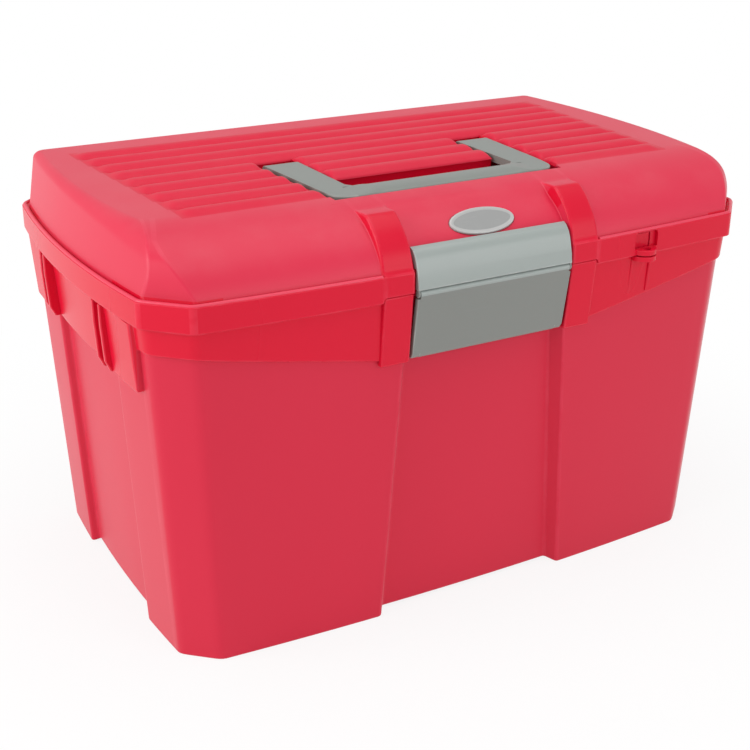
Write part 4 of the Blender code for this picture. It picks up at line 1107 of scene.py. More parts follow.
@dataclass
class Tub:
    """The tapered tub with its skirt, uprights, end ribs, padlock eye and hinge knuckles."""

    palette: Palette
    wall: float = 0.0025
    floor: float = 0.0030
    wall_in_front: float = 0.0066
    wall_in_end: float = 0.0045
    front_draft: float = 0.025
    end_draft: float = 0.0453
    cut_x: float = 0.0183
    cut_y: float = 0.0166
    bow_front: float = 0.0060
    bow_end: float = 0.0040
    base_margin: float = 0.008
    bay_lift: float = 0.0018
    skirt_draft: float = 0.07
    skirt_low: float = BAND_Z - 0.0370
    skirt_high: float = BAND_Z - 0.0150
    end_skirt: float = BAND_Z - 0.0390
    step_rise: float = 0.0025
    latch_bay_z: float = BAND_Z - 0.0035
    lip_top: float = RIM_Z - LID_WALL - SEAT
    end_step_depth: float = 0.0055
    end_face_depth: float = 0.0022
    corner_round: float = 0.0045
    edge_round: float = 0.0016
    fold_run: float = 0.0008
    fold_round: float = 0.0007
    front_bay: Bay = Bay(0.0629, 0.0044, 0.0074, 0.063)
    end_bay: Bay = Bay(0.0507, 0.0020, 0.0052)
    latch_bay: Bay = Bay(LATCH_BAY_HALF, 0.0004, LATCH_BAY_SET)
    no_bay: Bay = Bay(LATCH_BAY_HALF, 0.0004, 0.0)
    end_plain: Bay = Bay(END_HALF, END_FLANK, 0.0)
    end_step: Bay = Bay(END_HALF, END_FLANK, end_step_depth, swell=END_SWELL)
    end_face: Bay = Bay(END_HALF, END_FLANK, end_face_depth, swell=END_SWELL)
    upright_foot: float = 0.0012
    rib_places: Pair = (0.0435, 0.0525)
    rib_thick: float = 0.0030
    rib_inset: float = 0.0007
    rib_toe: Tuple[Pair, ...] = ((0.004, 0.0), (0.0012, 0.006))
    rib_straight: float = 0.012
    catch_drop: float = 0.0130
    catch_y: float = -0.1270 + 0.0082
    catch_half: float = 0.026
    catch_bevel: float = 0.0016
    catch_rise: Tuple[float, ...] = (0.0018, 0.0030, 0.0050)
    eye_thick: float = 0.0030
    eye_bore: Pair = (BAND_Z - 0.007, BAND_Z + 0.004)
    cheek_places: Pair = (EYE_X - EYE_R + 0.0001, EYE_X + EYE_R - 0.0019)
    cheek_thick: float = 0.0018
    cheek_foot: float = BAND_Z - 0.0245
    cheek_top: float = BAND_Z - SEAT - 0.0010
    cheek_out: float = 0.0012
    cheek_knee: Pair = (0.0006, 0.0040)
    knuckle_half: float = 0.0070
    web_foot: float = 0.002
    web_out: float = 0.0026
    web_drop: Pair = (0.0045, 0.0005)

    def wall_plan(self, z: float) -> Plan:
        """Outer wall at one height, narrowing toward the floor."""
        drop = TUB_TOP_Z - z
        return Plan(RIM.half_x - self.wall_in_end - drop * self.end_draft,
                    RIM.half_y - self.wall_in_front - drop * self.front_draft,
                    self.cut_x, self.cut_y, self.bow_front, self.bow_end)

    def skirt_plan(self, z: float) -> Plan:
        """Outer face of the skirt, drafted inward below the lid's band."""
        return RIM.inset(LIP_IN + SEAT + (TUB_TOP_Z - z) * self.skirt_draft)

    def skirt_foot(self, side: str, place: float, in_bay: bool) -> float:
        """Height of the skirt's lower edge at one place round the tub.

        Args:
            side: front, back or end.
            place: distance from the side's middle.
            in_bay: whether the place is in the side's bay.

        Returns:
            The height.
        """
        if side == "front":
            if in_bay:
                return self.latch_bay_z
            slope = (self.skirt_high - self.skirt_low) / (RIM.corner_x - LATCH_BAY_HALF)
            return self.skirt_low + max(0.0, place - LATCH_BAY_HALF) * slope
        if side == "back" or place > FOLD_Y:
            return self.skirt_high
        return self.end_skirt

    def height(self, level: Level, value: float, side: str, place: float,
               in_bay: bool) -> float:
        """Height of one section at one place round the tub.

        Args:
            level: how the section places its height.
            value: the height of a flat section.
            side: front, back or end.
            place: distance from the side's middle.
            in_bay: whether the place is in the side's bay.

        Returns:
            The height.
        """
        if level is Level.FOOT:
            return self.bay_lift if in_bay else 0.0
        if level is Level.SKIRT:
            return self.skirt_foot(side, place, in_bay)
        if level is Level.SKIRT_TOP:
            return self.skirt_foot(side, place, in_bay) + self.step_rise
        shoulder = TUB_TOP_Z + (SKIRT_WALL if in_bay else -SKIRT_WALL)
        if level is Level.SHOULDER:
            return shoulder
        if level is Level.LIP_FOOT:
            return shoulder + SEAT
        return value

    def side(self, side: str, bay: Bay, plan_at: object, level: Level, value: float,
             wall: float) -> List[Node3]:
        """One side of a section, from corner to corner, as (place, outward, height).

        Args:
            side: front, back or end.
            bay: the side's bay.
            plan_at: the outline by height.
            level: how the section places its height.
            value: the height of a flat section.
            wall: how far inside the outer face it lies.

        Returns:
            The side's points.
        """
        end = side == "end"
        distance = Plan.end if end else Plan.front
        nominal = RIM.corner_y if end else RIM.corner_x
        if end:
            marks = [(FOLD_Y + self.fold_run, self.fold_round), (FOLD_Y, self.edge_round)]
            marks += [(END_HALF + (FOLD_Y - END_HALF) * share, 0.0) for share in (0.66, 0.33)]
        else:
            marks = [(LATCH_BAY_HALF + (nominal - LATCH_BAY_HALF) * share, 0.0)
                     for share in FRONT_SHARES + (0.192,)]
        half = []
        for place, reach in [(nominal, self.corner_round)] + marks:
            z = self.height(level, value, side, place, False)
            plan = plan_at(z)
            corner = plan.corner_y if end else plan.corner_x
            spot = corner if place == nominal else place - wall
            half.append(Node3(spot, distance(plan, spot) + bay.proud(place), z, reach))
        z = self.height(level, value, side, bay.half, False)
        small = self.edge_round
        half.append(Node3(bay.edge(z), distance(plan_at(z), bay.edge(z)), z, small))
        for share in (1.0, 0.6, 0.3, 0.0):
            z = self.height(level, value, side, bay.half * share, True)
            spot = bay.floor(z) * share
            reach = small if share == 1.0 else 0.0
            half.append(Node3(spot, distance(plan_at(z), spot) - bay.depth, z, reach))
        return mirrored(half)

    def ring(self, plan_at: object, level: Level, value: float, bays: Sequence[Bay],
             wall: float = 0.0) -> List[Node3]:
        """One section, anticlockwise seen from above, from the front left corner.

        Args:
            plan_at: the outline by height.
            level: how the section places its height.
            value: the height of a flat section.
            bays: the bays of front, back and ends.
            wall: how far inside the outer face it lies.

        Returns:
            The section's points.
        """
        front, back, end = [
            self.side(side, bay.grown(wall), plan_at, level, value, wall)
            for side, bay in zip(("front", "back", "end"), bays)]
        ring = [Node3(n.x, -n.y, n.z, n.reach) for n in front]
        ring += [Node3(n.y, n.x, n.z, n.reach) for n in end]
        ring += [Node3(-n.x, n.y, n.z, n.reach) for n in back]
        ring += [Node3(-n.y, -n.x, n.z, n.reach) for n in end]
        return ring

    def shell(self) -> BMesh:
        """The tub's skin: up the outside, over the lip and down the inside.

        Returns:
            The mesh.
        """
        lip = lambda z: RIM.inset(LIP_IN)
        lip_inside = lambda z: RIM.inset(LIP_IN + SKIRT_WALL)
        inner_wall = lambda z: self.wall_plan(z).inset(self.wall)
        inner_skirt = lambda z: self.skirt_plan(z).inset(SKIRT_WALL)
        margin = lambda z: self.wall_plan(z).inset(self.base_margin)
        walls = (self.front_bay, self.front_bay, self.end_bay)
        lips = (self.latch_bay, self.no_bay, self.end_plain)
        faces = (self.latch_bay, self.no_bay, self.end_face)
        skirts = (self.latch_bay, self.no_bay, self.end_step)
        flat = Level.FLAT
        sections = [
            (self.ring(margin, flat, 0.0, walls, self.wall), 0.0),
            (self.ring(self.wall_plan, Level.FOOT, 0.0, walls), 0.0012),
            (self.ring(self.wall_plan, Level.SKIRT, 0.0, walls), 0.0005),
            (self.ring(self.skirt_plan, Level.SKIRT, 0.0, faces), 0.0009),
            (self.ring(self.skirt_plan, flat, TUB_TOP_Z, faces), 0.0005),
            (self.ring(lip, flat, TUB_TOP_Z + SEAT, lips), 0.0002),
            (self.ring(lip, flat, self.lip_top, lips), 0.0006),
            (self.ring(lip_inside, flat, self.lip_top, lips, SKIRT_WALL), 0.0006),
            (self.ring(lip_inside, Level.LIP_FOOT, 0.0, lips, SKIRT_WALL), 0.0),
            (self.ring(inner_skirt, Level.SHOULDER, 0.0, skirts, SKIRT_WALL), 0.0),
            (self.ring(inner_skirt, Level.SKIRT_TOP, 0.0, skirts, SKIRT_WALL), 0.0006),
            (self.ring(inner_wall, Level.SKIRT_TOP, 0.0, walls, self.wall), 0.0008),
            (self.ring(inner_wall, flat, self.floor, walls, self.wall), 0.0020),
        ]
        return soft_loft([ring for ring, _ in sections], [reach for _, reach in sections], 3)

    def in_skirt(self, place: Vector) -> bool:
        """Whether a point of the tub's skin lies on its skirt or lip.

        Args:
            place: the point.

        Returns:
            Whether it does.
        """
        end = abs(place.x) > RIM.corner_x + (RIM.corner_y - abs(place.y)) * 0.2
        side = "end" if end else ("front" if place.y < 0.0 else "back")
        along = abs(place.y) if end else abs(place.x)
        in_bay = side == "front" and along < LATCH_BAY_HALF
        return place.z > self.skirt_foot(side, along, in_bay) - 0.0004

    def uprights(self) -> BMesh:
        """Two uprights beside the latch that carry on the lid's own.

        Returns:
            The mesh.
        """
        x = (PILASTER_IN + PILASTER_OUT) / 2
        top = BAND_Z + UPRIGHT_SPLIT - SEAT
        low = self.skirt_low - SEAT
        knee = self.skirt_low + self.step_rise * 2
        face = RIM.front(x) - UPRIGHT_INSET
        foot_face = self.skirt_plan(low).front(x) + self.upright_foot
        outline = [(-(self.wall_plan(low).front(x) - self.wall / 2), low), (-foot_face, low),
                   (-face, top), (-(RIM.front(x) - LIP_IN - SKIRT_WALL / 2), top),
                   (-(self.skirt_plan(knee).front(x) - SKIRT_WALL / 2), knee)]
        bm = bmesh.new()
        for start, end in ((-PILASTER_OUT, -PILASTER_IN), (PILASTER_IN, PILASTER_OUT)):
            add_profile(bm, outline, "X", start, end)
        round_edges(bm, (0.0010, 0.0005))
        return bm

    def end_ribs(self) -> BMesh:
        """Pairs of upright ribs on both ends, flush with the lid's band.

        Returns:
            The mesh.
        """
        top = TUB_TOP_Z + SEAT / 2
        foot = self.end_skirt
        bm = bmesh.new()
        for side in (-1, 1):
            for y in [sign * place for place in self.rib_places for sign in (-1, 1)]:
                reach = RIM.end(y) - self.rib_inset
                root = self.skirt_plan(foot).end(y) - self.end_step_depth - SKIRT_WALL / 2
                outline = [(root, foot)]
                outline += [(reach - back, foot + up) for back, up in self.rib_toe]
                outline += [(reach, top - self.rib_straight), (reach, top), (root, top)]
                add_profile(bm, [(side * u, v) for u, v in outline], "Y",
                            y - self.rib_thick / 2, y + self.rib_thick / 2)
        round_edges(bm, (0.0008, 0.0004))
        return bm

    def catch(self) -> BMesh:
        """Ledge on the front wall that the latch hooks under.

        Returns:
            The mesh.
        """
        z, y = BAND_Z - self.catch_drop, self.catch_y
        wall = self.wall_plan(z).front(0.0) - self.front_bay.depth - self.wall / 2
        nose, slope, root = [z + rise for rise in self.catch_rise]
        outline = [(-wall, z), (y, z), (y, nose), (y + self.catch_bevel, slope), (-wall, root)]
        bm = bmesh.new()
        add_profile(bm, outline, "X", -self.catch_half, self.catch_half)
        round_edges(bm, (0.0004,))
        return bm

    def eye(self) -> BMesh:
        """Lower tab of the padlock eye on two cheeks.

        Returns:
            The mesh.
        """
        skirt = self.skirt_plan(TUB_TOP_Z).front(EYE_X)
        bm = eye_plate(-skirt + SKIRT_WALL / 2, BAND_Z - SEAT - self.eye_thick, BAND_Z - SEAT,
                       self.eye_bore)
        back = -self.skirt_plan(self.skirt_low).front(EYE_X) + SKIRT_WALL / 2
        foot, top, out = self.cheek_foot, self.cheek_top, self.cheek_out
        cheek = [(back, foot), (back, top), (-skirt - out, top),
                 (-skirt - self.cheek_knee[0], top - self.cheek_knee[1]), (-skirt + out, foot)]
        for low in self.cheek_places:
            add_profile(bm, cheek, "X", low, low + self.cheek_thick)
        round_edges(bm, (0.0005, 0.0003))
        return bm

    def knuckles(self) -> BMesh:
        """The two middle knuckles of the rear hinges.

        Returns:
            The mesh.
        """
        root = RIM.front(HINGE_X) - LIP_IN - SKIRT_WALL / 2
        low, top = [BAND_Z - drop for drop in self.web_drop]
        web = [(root, self.skirt_high + self.web_foot), (HINGE_Y + self.web_out, low),
               (HINGE_Y + self.web_out, top), (root, top)]
        half = self.knuckle_half
        return knuckle_row([(x - half, x + half) for x in (-HINGE_X, HINGE_X)], web)

    def build(self) -> None:
        """Dress the shell, what stands on it and the two hinge pins that it carries."""
        finish = self.palette.band
        skin = add_zone(shaded("tub_shell", self.shell(), self.palette.tub), finish,
                        self.in_skirt)
        settle(even_out(skin), Body.TUB, Slot.RED, "tub")
        for name, bm in (("tub_uprights", self.uprights()), ("tub_end_ribs", self.end_ribs()),
                         ("tub_latch_catch", self.catch()), ("tub_padlock_eye", self.eye()),
                         ("tub_hinge_knuckles", self.knuckles())):
            settle(even_out(shaded(name, bm, finish)), Body.TUB, Slot.RED)
        for node in ("hinge_pin_left", "hinge_pin_right"):
            pin = soften(node, self.palette.steel, (0.0003,), 40.0)
            settle(pin, Body.TUB, Slot.STEEL, node)


def eye_outline(back: float) -> List[Pair]:
    """Half-round tab of the padlock eye, seen from above, rooted at a line behind it.

    Args:
        back: the line along Y that it is rooted at.

    Returns:
        The outline's points.
    """
    centre = -RIM.front(EYE_X) + LID_WALL
    start = math.asin(max(0.0, centre - back) / EYE_R)
    sweep = math.pi - 2.0 * start
    arc = [(EYE_X - EYE_R * math.cos(a), centre - EYE_R * math.sin(a))
           for a in [start + sweep * i / 20 for i in range(21)]]
    if back <= centre:
        return arc
    return arc + [(EYE_X + EYE_R, back), (EYE_X - EYE_R, back)]


def eye_plate(back: float, low: float, high: float, bore: Pair) -> BMesh:
    """Tab of the padlock eye, bored for a shackle.

    Args:
        back: the line along Y that it is rooted at.
        low: its lower face.
        high: its upper face.
        bore: where the bore starts and ends.

    Returns:
        The mesh.
    """
    tab, hole = bmesh.new(), bmesh.new()
    add_profile(tab, eye_outline(back), "Z", low, high)
    y = -RIM.front(EYE_X) - EYE_R / 8
    add_cylinder(hole, EYE_HOLE, (EYE_X, y, bore[0]), (EYE_X, y, bore[1]))
    return carve(tab, [(hole, "DIFFERENCE")])


def knuckle_row(spans: Sequence[Pair], web: Sequence[Pair]) -> BMesh:
    """Hinge knuckles with their webs, bored for the pin.

    Args:
        spans: each knuckle's ends along X.
        web: the web's outline as (y, z).

    Returns:
        The mesh.
    """
    webs, barrels, bores = bmesh.new(), bmesh.new(), bmesh.new()
    for low, high in spans:
        add_profile(webs, web, "X", low + SEAT, high - SEAT)
        add_cylinder(barrels, HINGE_BARREL, (low, HINGE_Y, HINGE_Z), (high, HINGE_Y, HINGE_Z))
        add_cylinder(bores, HINGE_BORE, (low - PAST, HINGE_Y, HINGE_Z),
                     (high + PAST, HINGE_Y, HINGE_Z), 24)
    return carve(webs, [(barrels, "UNION"), (bores, "DIFFERENCE")])


@dataclass
class RibRun:
    """One run of ribs on the lid, given at its front and back ends."""

    name: str
    count: int
    first: int
    low: Pair
    high: Pair
    fades: Pair = (0.0, 0.0)
    stops: Pair = (0.0, 0.0)
    flat_front: float = 0.0
    flat_back: float = 0.0


@dataclass
class Lid:
    """The domed lid with crowned ribs, a rolled bead on its rim and the bare oval plate."""

    palette: Palette
    dome_foot: float = RIM_Z - 0.0088
    dome_run: float = 0.0510
    dome_offset: float = 0.0014
    first_angle: float = 13.2
    end_ledge: float = 0.0035
    end_rake: float = 0.0075
    end_round: Pair = (0.0045, 0.0130)
    back_ledge: float = 0.0080
    back_rake: float = 0.0145
    back_round: float = 0.0030
    chamfer_end: float = TOP_Z - 0.0019
    top_corner: float = 0.0016
    pilaster_rise: float = 0.0046
    pilaster_peak: float = 55.0
    pilaster_end: float = 66.0
    pilaster_flank: float = 0.0009
    crest_blend: float = 0.00028
    pilaster_round: float = 0.0013
    panel_recess: float = 0.0025
    panel_end: float = 70.0
    panel_fade: float = 15.0
    dome_round: float = 0.0014
    band_round: float = 0.0022
    bead_inset: float = 0.0015
    bead_z: float = RIM_Z - 0.0002
    bead_radius: float = 0.0011
    rib_pitch: float = 0.0176
    rib_first: float = -0.0750
    rib_count: int = 9
    rib_fade: float = 0.0085
    rib_stop: float = 0.0032
    rib_height: float = 0.0018
    rib_sole: float = 0.0021
    rib_groove: float = 0.0017
    reach_front: float = 0.1570
    reach_step: float = 0.001125
    island: float = 0.0535
    pivot_y: float = 0.0010
    handle_half: Pair = (0.0718, 0.0765)
    handle_gap: float = 0.0018
    rib_gap: float = 0.0005
    pocket_front: float = -0.0803
    pocket_back: float = 0.0140
    channel_back: float = -0.0385
    pocket_floor: float = TOP_Z - 0.0084
    channel_floor: float = TOP_Z - 0.0184
    pocket_cheek: float = 0.0046
    plate_rim: float = 0.0013
    plate_sink: float = 0.00025
    plate_field: Colour = (0.300, 0.304, 0.300)
    plate_angle: float = 43.5
    plate_size: Point = (0.0418, 0.0178, 0.0099)
    plate_lift: float = 0.00405
    notch_half: float = 0.0085
    notch_round: float = 0.0030
    notch_low: float = BAND_Z + 0.0038
    notch_high: float = RIM_Z + 0.003
    tab_root: float = LID_WALL - 0.0004
    tab_span: Pair = (BAND_Z + 0.0004, BAND_Z + 0.0035)
    tab_bore: Pair = (BAND_Z - 0.004, BAND_Z + 0.008)
    knuckle_span: Pair = (0.0074, 0.0154)

    def dome_point(self, angle: float) -> Tuple[float, float, Vector]:
        """Front profile of the dome: inset from the band's face, height and normal.

        Args:
            angle: place on the profile, 0 at its foot and 90 on top.

        Returns:
            The inset, the height and the normal.
        """
        rise = TOP_Z - self.dome_foot
        a = math.radians(angle)
        inset = self.dome_offset + self.dome_run * (1.0 - math.cos(a))
        normal = Vector((rise * math.cos(a), self.dome_run * math.sin(a))).normalized()
        return inset, self.dome_foot + rise * math.sin(a), normal

    def upright_rise(self, angle: float) -> float:
        """How far the upright stands off the dome, with a soft crest.

        Args:
            angle: place on the dome's profile in degrees.

        Returns:
            The distance.
        """
        climb = self.pilaster_rise * angle / self.pilaster_peak
        span = self.pilaster_end - self.pilaster_peak
        fall = self.pilaster_rise * (self.pilaster_end - angle) / span
        blend = self.crest_blend
        soft = -blend * math.log(math.exp(-climb / blend) + math.exp(-max(fall, -0.004) / blend))
        return max(0.0, soft)

    def recess(self, angle: float) -> float:
        """How far the centre panel lies under the dome, fading out toward the top."""
        share = min(1.0, max(0.0, (self.panel_end - angle) / self.panel_fade))
        return self.panel_recess * share * share * (3.0 - 2.0 * share)

    def end_lean(self, y: float, z: float) -> float:
        """How far the end wall lies in: it leans, and rounds over at the top.

        Args:
            y: place along the end.
            z: height.

        Returns:
            The distance.
        """
        share = min(1.0, max(0.0, 0.5 - y / (2.0 * RIM.corner_y))) ** 3
        radius = self.end_round[0] + (self.end_round[1] - self.end_round[0]) * share
        climb = min(1.0, max(0.0, 1.0 - (TOP_Z - z) / radius))
        lean = self.end_rake * (z - RIM_Z) / (TOP_Z - RIM_Z)
        return lean + radius * (1.0 - math.sqrt(1.0 - climb ** 2))

    def ring(self, front: Dict[str, Pair], back_in: float, end_in: float,
             z: float, cut: float, corner: float, leaning: bool = False,
             straight: float = 0.0) -> List[Node3]:
        """One section of the lid.

        Args:
            front: inset and height of the dome, the uprights and the centre panel.
            back_in: inset of the back.
            end_in: inset of the ends.
            z: height of the ends and back.
            cut: size of the corner cuts.
            corner: rounding of the corner cuts.
            leaning: whether the ends lean in.
            straight: how far the back has lost its bow.

        Returns:
            The section's points.
        """
        lean = (lambda y: self.end_lean(y, z)) if leaning else (lambda y: 0.0)
        y_front = -(RIM.half_y - front["dome"][0] - cut)
        y_back = RIM.half_y + straight * RIM.bow_front - back_in - cut
        side = RIM.half_x - end_in - lean(y_front) - cut
        out, inner, flank = PILASTER_OUT, PILASTER_IN, self.pilaster_flank
        half = [(side, "dome", corner)]
        half += [(LATCH_BAY_HALF + (RIM.corner_x - LATCH_BAY_HALF) * share, "dome", 0.0)
                 for share in FRONT_SHARES + (0.22,)]
        half += [(out + flank, "dome", 0.0004), (out, "upright", self.pilaster_round),
                 (inner, "upright", self.pilaster_round), (inner - flank, "panel", 0.0004)]
        half += [(inner * share, "panel", 0.0) for share in (0.66, 0.33, 0.0)]
        ring = []
        for sign, places in ((-1, half), (1, list(reversed(half[:-1])))):
            for x, zone, reach in places:
                inset, height = front[zone]
                ring.append(Node3(sign * x, -(RIM.front(x) - inset), height, reach))
        spots = [y_front + (y_back - y_front) * i / 18 for i in range(19)]
        rounds = [corner] + [0.0] * 17 + [corner]
        end = [(RIM.end(y) - end_in - lean(y), y, reach) for y, reach in zip(spots, rounds)]
        ring += [Node3(x, y, z, reach) for x, y, reach in end]
        back_x = RIM.half_x - end_in - lean(y_back) - cut
        for i in range(11):
            x = back_x * (1.0 - i / 5)
            y = RIM.front(x) + straight * (RIM.front(0.0) - RIM.front(x)) - back_in
            ring.append(Node3(x, y, z, corner if i in (0, 10) else 0.0))
        ring += [Node3(-x, y, z, reach) for x, y, reach in reversed(end)]
        return ring

    def band(self, inset: float, z: float, split: float = 0.0,
             upright: float = None) -> List[Node3]:
        """A section of the band, set back behind the latch and raised at the uprights.

        Args:
            inset: how far inside the rim it lies.
            z: its height.
            split: how far the uprights' part is raised.
            upright: the uprights' own inset.

        Returns:
            The section's points.
        """
        cut = RIM.cut_x - inset * (1.0 - math.tan(math.pi / 8))
        held = inset if upright is None else upright
        front = {"dome": (inset, z), "upright": (held, z + split),
                 "panel": (inset + LATCH_BAY_SET, z)}
        return self.ring(front, inset, inset, z, cut, self.band_round)

    def dome(self, angle: float, wall: float) -> List[Node3]:
        """A section of the dome, outside for no wall or inside for the lid's wall.

        Args:
            angle: place on the dome's profile in degrees.
            wall: the wall's thickness.

        Returns:
            The section's points.
        """
        inset, z, normal = self.dome_point(angle)
        share = (z - RIM_Z) / (TOP_Z - RIM_Z)
        rise = self.upright_rise(angle) if wall == 0.0 else 0.0
        front = {}
        for zone, offset in (("dome", 0.0), ("upright", rise), ("panel", -self.recess(angle))):
            shift = offset - wall
            front[zone] = (inset - shift * normal.x, z + shift * normal.y)
        trim = wall * (1.0 - math.tan(math.pi / 8))
        taper = max(0.0, 1.0 - (z - RIM_Z) / (self.chamfer_end - RIM_Z))
        cut = max(self.top_corner, RIM.cut_x * taper - trim)
        climb = max(0.0, 1.0 - (TOP_Z - z) / self.back_round)
        roll = self.back_round * (1.0 - math.sqrt(1.0 - climb ** 2))
        back = self.back_ledge + self.back_rake * share + wall + roll
        return self.ring(front, back, self.end_ledge + wall, z - wall * normal.y, cut,
                         self.dome_round, True, share)

    def ledge(self, z: float, wall: float) -> List[Node3]:
        """Foot of the dome on the band's ledge, outside or inside.

        Args:
            z: its height.
            wall: the wall's thickness, 0 outside.

        Returns:
            The section's points.
        """
        inset, _, _ = self.dome_point(self.first_angle)
        cut = RIM.cut_x - (inset + wall) * (1.0 - math.tan(math.pi / 8))
        upright = (inset + wall, z) if wall else (UPRIGHT_INSET, RIM_Z + 0.0002)
        front = {"dome": (inset + wall, z), "upright": upright,
                 "panel": (inset + self.panel_recess + wall, z)}
        return self.ring(front, self.back_ledge + wall, self.end_ledge + wall, z, cut,
                         self.dome_round)

    def shell(self) -> BMesh:
        """The lid's skin: down the outside from the top, then up the inside.

        Returns:
            The mesh.
        """
        seat_z = RIM_Z - LID_WALL
        span = 90.0 - self.first_angle
        angles = [90.0 - span * i / 36 for i in range(36)]
        sections = [(self.dome(angle, 0.0), 0.0) for angle in angles]
        sections += [
            (self.ledge(RIM_Z - 0.0010, 0.0), 0.0006),
            (self.band(0.0013, RIM_Z, upright=UPRIGHT_INSET * 0.7), 0.0004),
            (self.band(0.0, RIM_Z - 0.0004), 0.0004),
            (self.band(0.0, BAND_Z, UPRIGHT_SPLIT), 0.0007),
            (self.band(LID_WALL, BAND_Z, UPRIGHT_SPLIT), 0.0004),
            (self.band(LID_WALL, seat_z), 0.0),
            (self.ledge(seat_z, LID_WALL), 0.0),
        ]
        sections += [(self.dome(angle, LID_WALL), 0.0)
                     for angle in (20.0, 28.0, 37.0, 46.0, 57.0, 68.0, 79.0, 90.0)]
        return soft_loft([ring for ring, _ in sections], [reach for _, reach in sections], 4)

    def in_band(self, place: Vector) -> bool:
        """Whether a point of the lid lies on its glossier band or uprights.

        Args:
            place: the point.

        Returns:
            Whether it does.
        """
        if place.z < RIM_Z + 0.0006:
            return True
        if not PILASTER_IN - 0.0006 < abs(place.x) < PILASTER_OUT + 0.0006:
            return False
        angle = math.radians(self.pilaster_end)
        rise = TOP_Z - self.dome_foot
        low = self.dome_foot + rise * math.sin(angle)
        share = min(1.0, (place.z - self.dome_foot) / rise)
        inset = self.dome_offset + self.dome_run * (1.0 - math.sqrt(1.0 - share ** 2))
        face = -(RIM.front(place.x) - inset)
        return place.z < low and place.y < face - 0.0001

    def reach(self, index: int) -> float:
        """Half length of one rib."""
        return self.reach_front + self.reach_step * index

    def slot(self, index: int) -> float:
        """Where one interrupted rib stops beside the handle."""
        y = self.rib_first + self.rib_pitch * (index + 1)
        return self.handle_outer(y) + self.handle_gap + self.rib_gap

    def handle_outer(self, y: float) -> float:
        """Half width over the handle's arms at one place along them.

        Args:
            y: the place.

        Returns:
            The half width.
        """
        front = self.pocket_front + 0.0008
        near, far = self.handle_half
        return near + (far - near) * (y - front) / (self.pivot_y - front)

    def rib_field(self) -> BMesh:
        """The shallow bed that the ribs lie in, stepped at its ends like the ribs.

        Returns:
            The mesh.
        """
        right = []
        for i in range(self.rib_count):
            low = self.rib_first + self.rib_pitch * i
            right += [(self.reach(i), low), (self.reach(i), low + self.rib_pitch)]
        outline = right + [(-x, y) for x, y in reversed(right)]
        bm = bmesh.new()
        add_profile(bm, outline, "Z", TOP_Z - self.rib_sole, OVER_TOP)
        return bm

    def pocket(self, margin: float, drop: float, top: float) -> BMesh:
        """Solid of the handle's pocket: two arm slots and the finger channel.

        Args:
            margin: how far it is grown sideways.
            drop: how far its floors are lowered.
            top: its upper face.

        Returns:
            The mesh.
        """
        arms, channel = bmesh.new(), bmesh.new()
        back, front = self.pocket_back + margin, self.pocket_front - margin
        gap = self.handle_gap + margin
        for sign in (-1, 1):
            outline = [(self.island - margin, front), (self.handle_outer(front) + gap, front),
                       (self.handle_outer(back) + gap, back), (self.island - margin, back)]
            add_profile(arms, [(sign * x, y) for x, y in outline], "Z",
                        self.pocket_floor - drop, top)
        half = self.handle_outer(front) + gap - 0.0001
        add_box(channel, (-half, half), (front + 0.0001, self.channel_back + margin),
                (self.channel_floor - drop, top - 0.0002))
        return carve(channel, [(arms, "UNION")])

    def notch(self) -> BMesh:
        """Opening in the band over the padlock eye, with rounded upper corners.

        Returns:
            The mesh.
        """
        half, curve = self.notch_half, self.notch_round
        low, high = self.notch_low, self.notch_high
        outline = [(EYE_X - half, low), (EYE_X + half, low)]
        for centre, start in ((half - curve, 0.0), (curve - half, math.pi / 2)):
            outline += [(EYE_X + centre + curve * math.cos(start + a),
                         high - 0.0035 - curve + curve * math.sin(start + a))
                        for a in [math.pi / 2 * i / 6 for i in range(7)]]
        centre_y = -RIM.front(EYE_X)
        bm = bmesh.new()
        add_profile(bm, outline, "Y", centre_y - 0.004, centre_y + LID_WALL + 0.0002)
        return bm

    def plate_seat(self) -> BMesh:
        """Oval seat of the plate on the centre panel.

        Returns:
            The mesh.
        """
        inset, z, normal = self.dome_point(self.plate_angle)
        out = self.recess(self.plate_angle)
        y = -(RIM.front(0.0) - inset - out * normal.x)
        tilt = math.atan2(normal.y, normal.x)
        place = (Matrix.Translation((0.0, y, z - out * normal.y))
                 @ Matrix.Rotation(math.pi / 2 - tilt, 4, "X"))
        size = Matrix.Diagonal((*self.plate_size, 1.0))
        lift = Matrix.Translation((0.0, 0.0, self.plate_lift))
        bm = bmesh.new()
        bmesh.ops.create_cone(bm, cap_ends=True, segments=72, radius1=0.5, radius2=0.5,
                              depth=1.0, matrix=place @ lift @ size)
        return bm

    def eye_tab(self) -> BMesh:
        """Upper tab of the padlock eye, bored for a shackle.

        Returns:
            The mesh.
        """
        bm = eye_plate(-RIM.front(EYE_X) + self.tab_root, *self.tab_span, self.tab_bore)
        round_edges(bm, (0.0005, 0.0003))
        return bm

    def knuckles(self) -> BMesh:
        """The outer knuckles of the rear hinges.

        Returns:
            The mesh.
        """
        root = RIM.front(HINGE_X) - LID_WALL / 2
        web = [(root, BAND_Z + 0.0006), (HINGE_Y, HINGE_Z - 0.0010),
               (HINGE_Y, HINGE_Z + 0.0030), (root, HINGE_Z + 0.0085)]
        near, far = self.knuckle_span
        spans = [span for x in (-HINGE_X, HINGE_X)
                 for span in ((x - far, x - near), (x + near, x + far))]
        return knuckle_row(spans, web)

    def pocket_walls(self) -> BMesh:
        """Thin walls and floor that close the handle's pocket from below."""
        block = self.pocket(self.pocket_cheek, LID_WALL, TOP_Z - LID_WALL / 2)
        return carve(block, [(self.pocket(0.0, 0.0, OVER_TOP), "DIFFERENCE")])

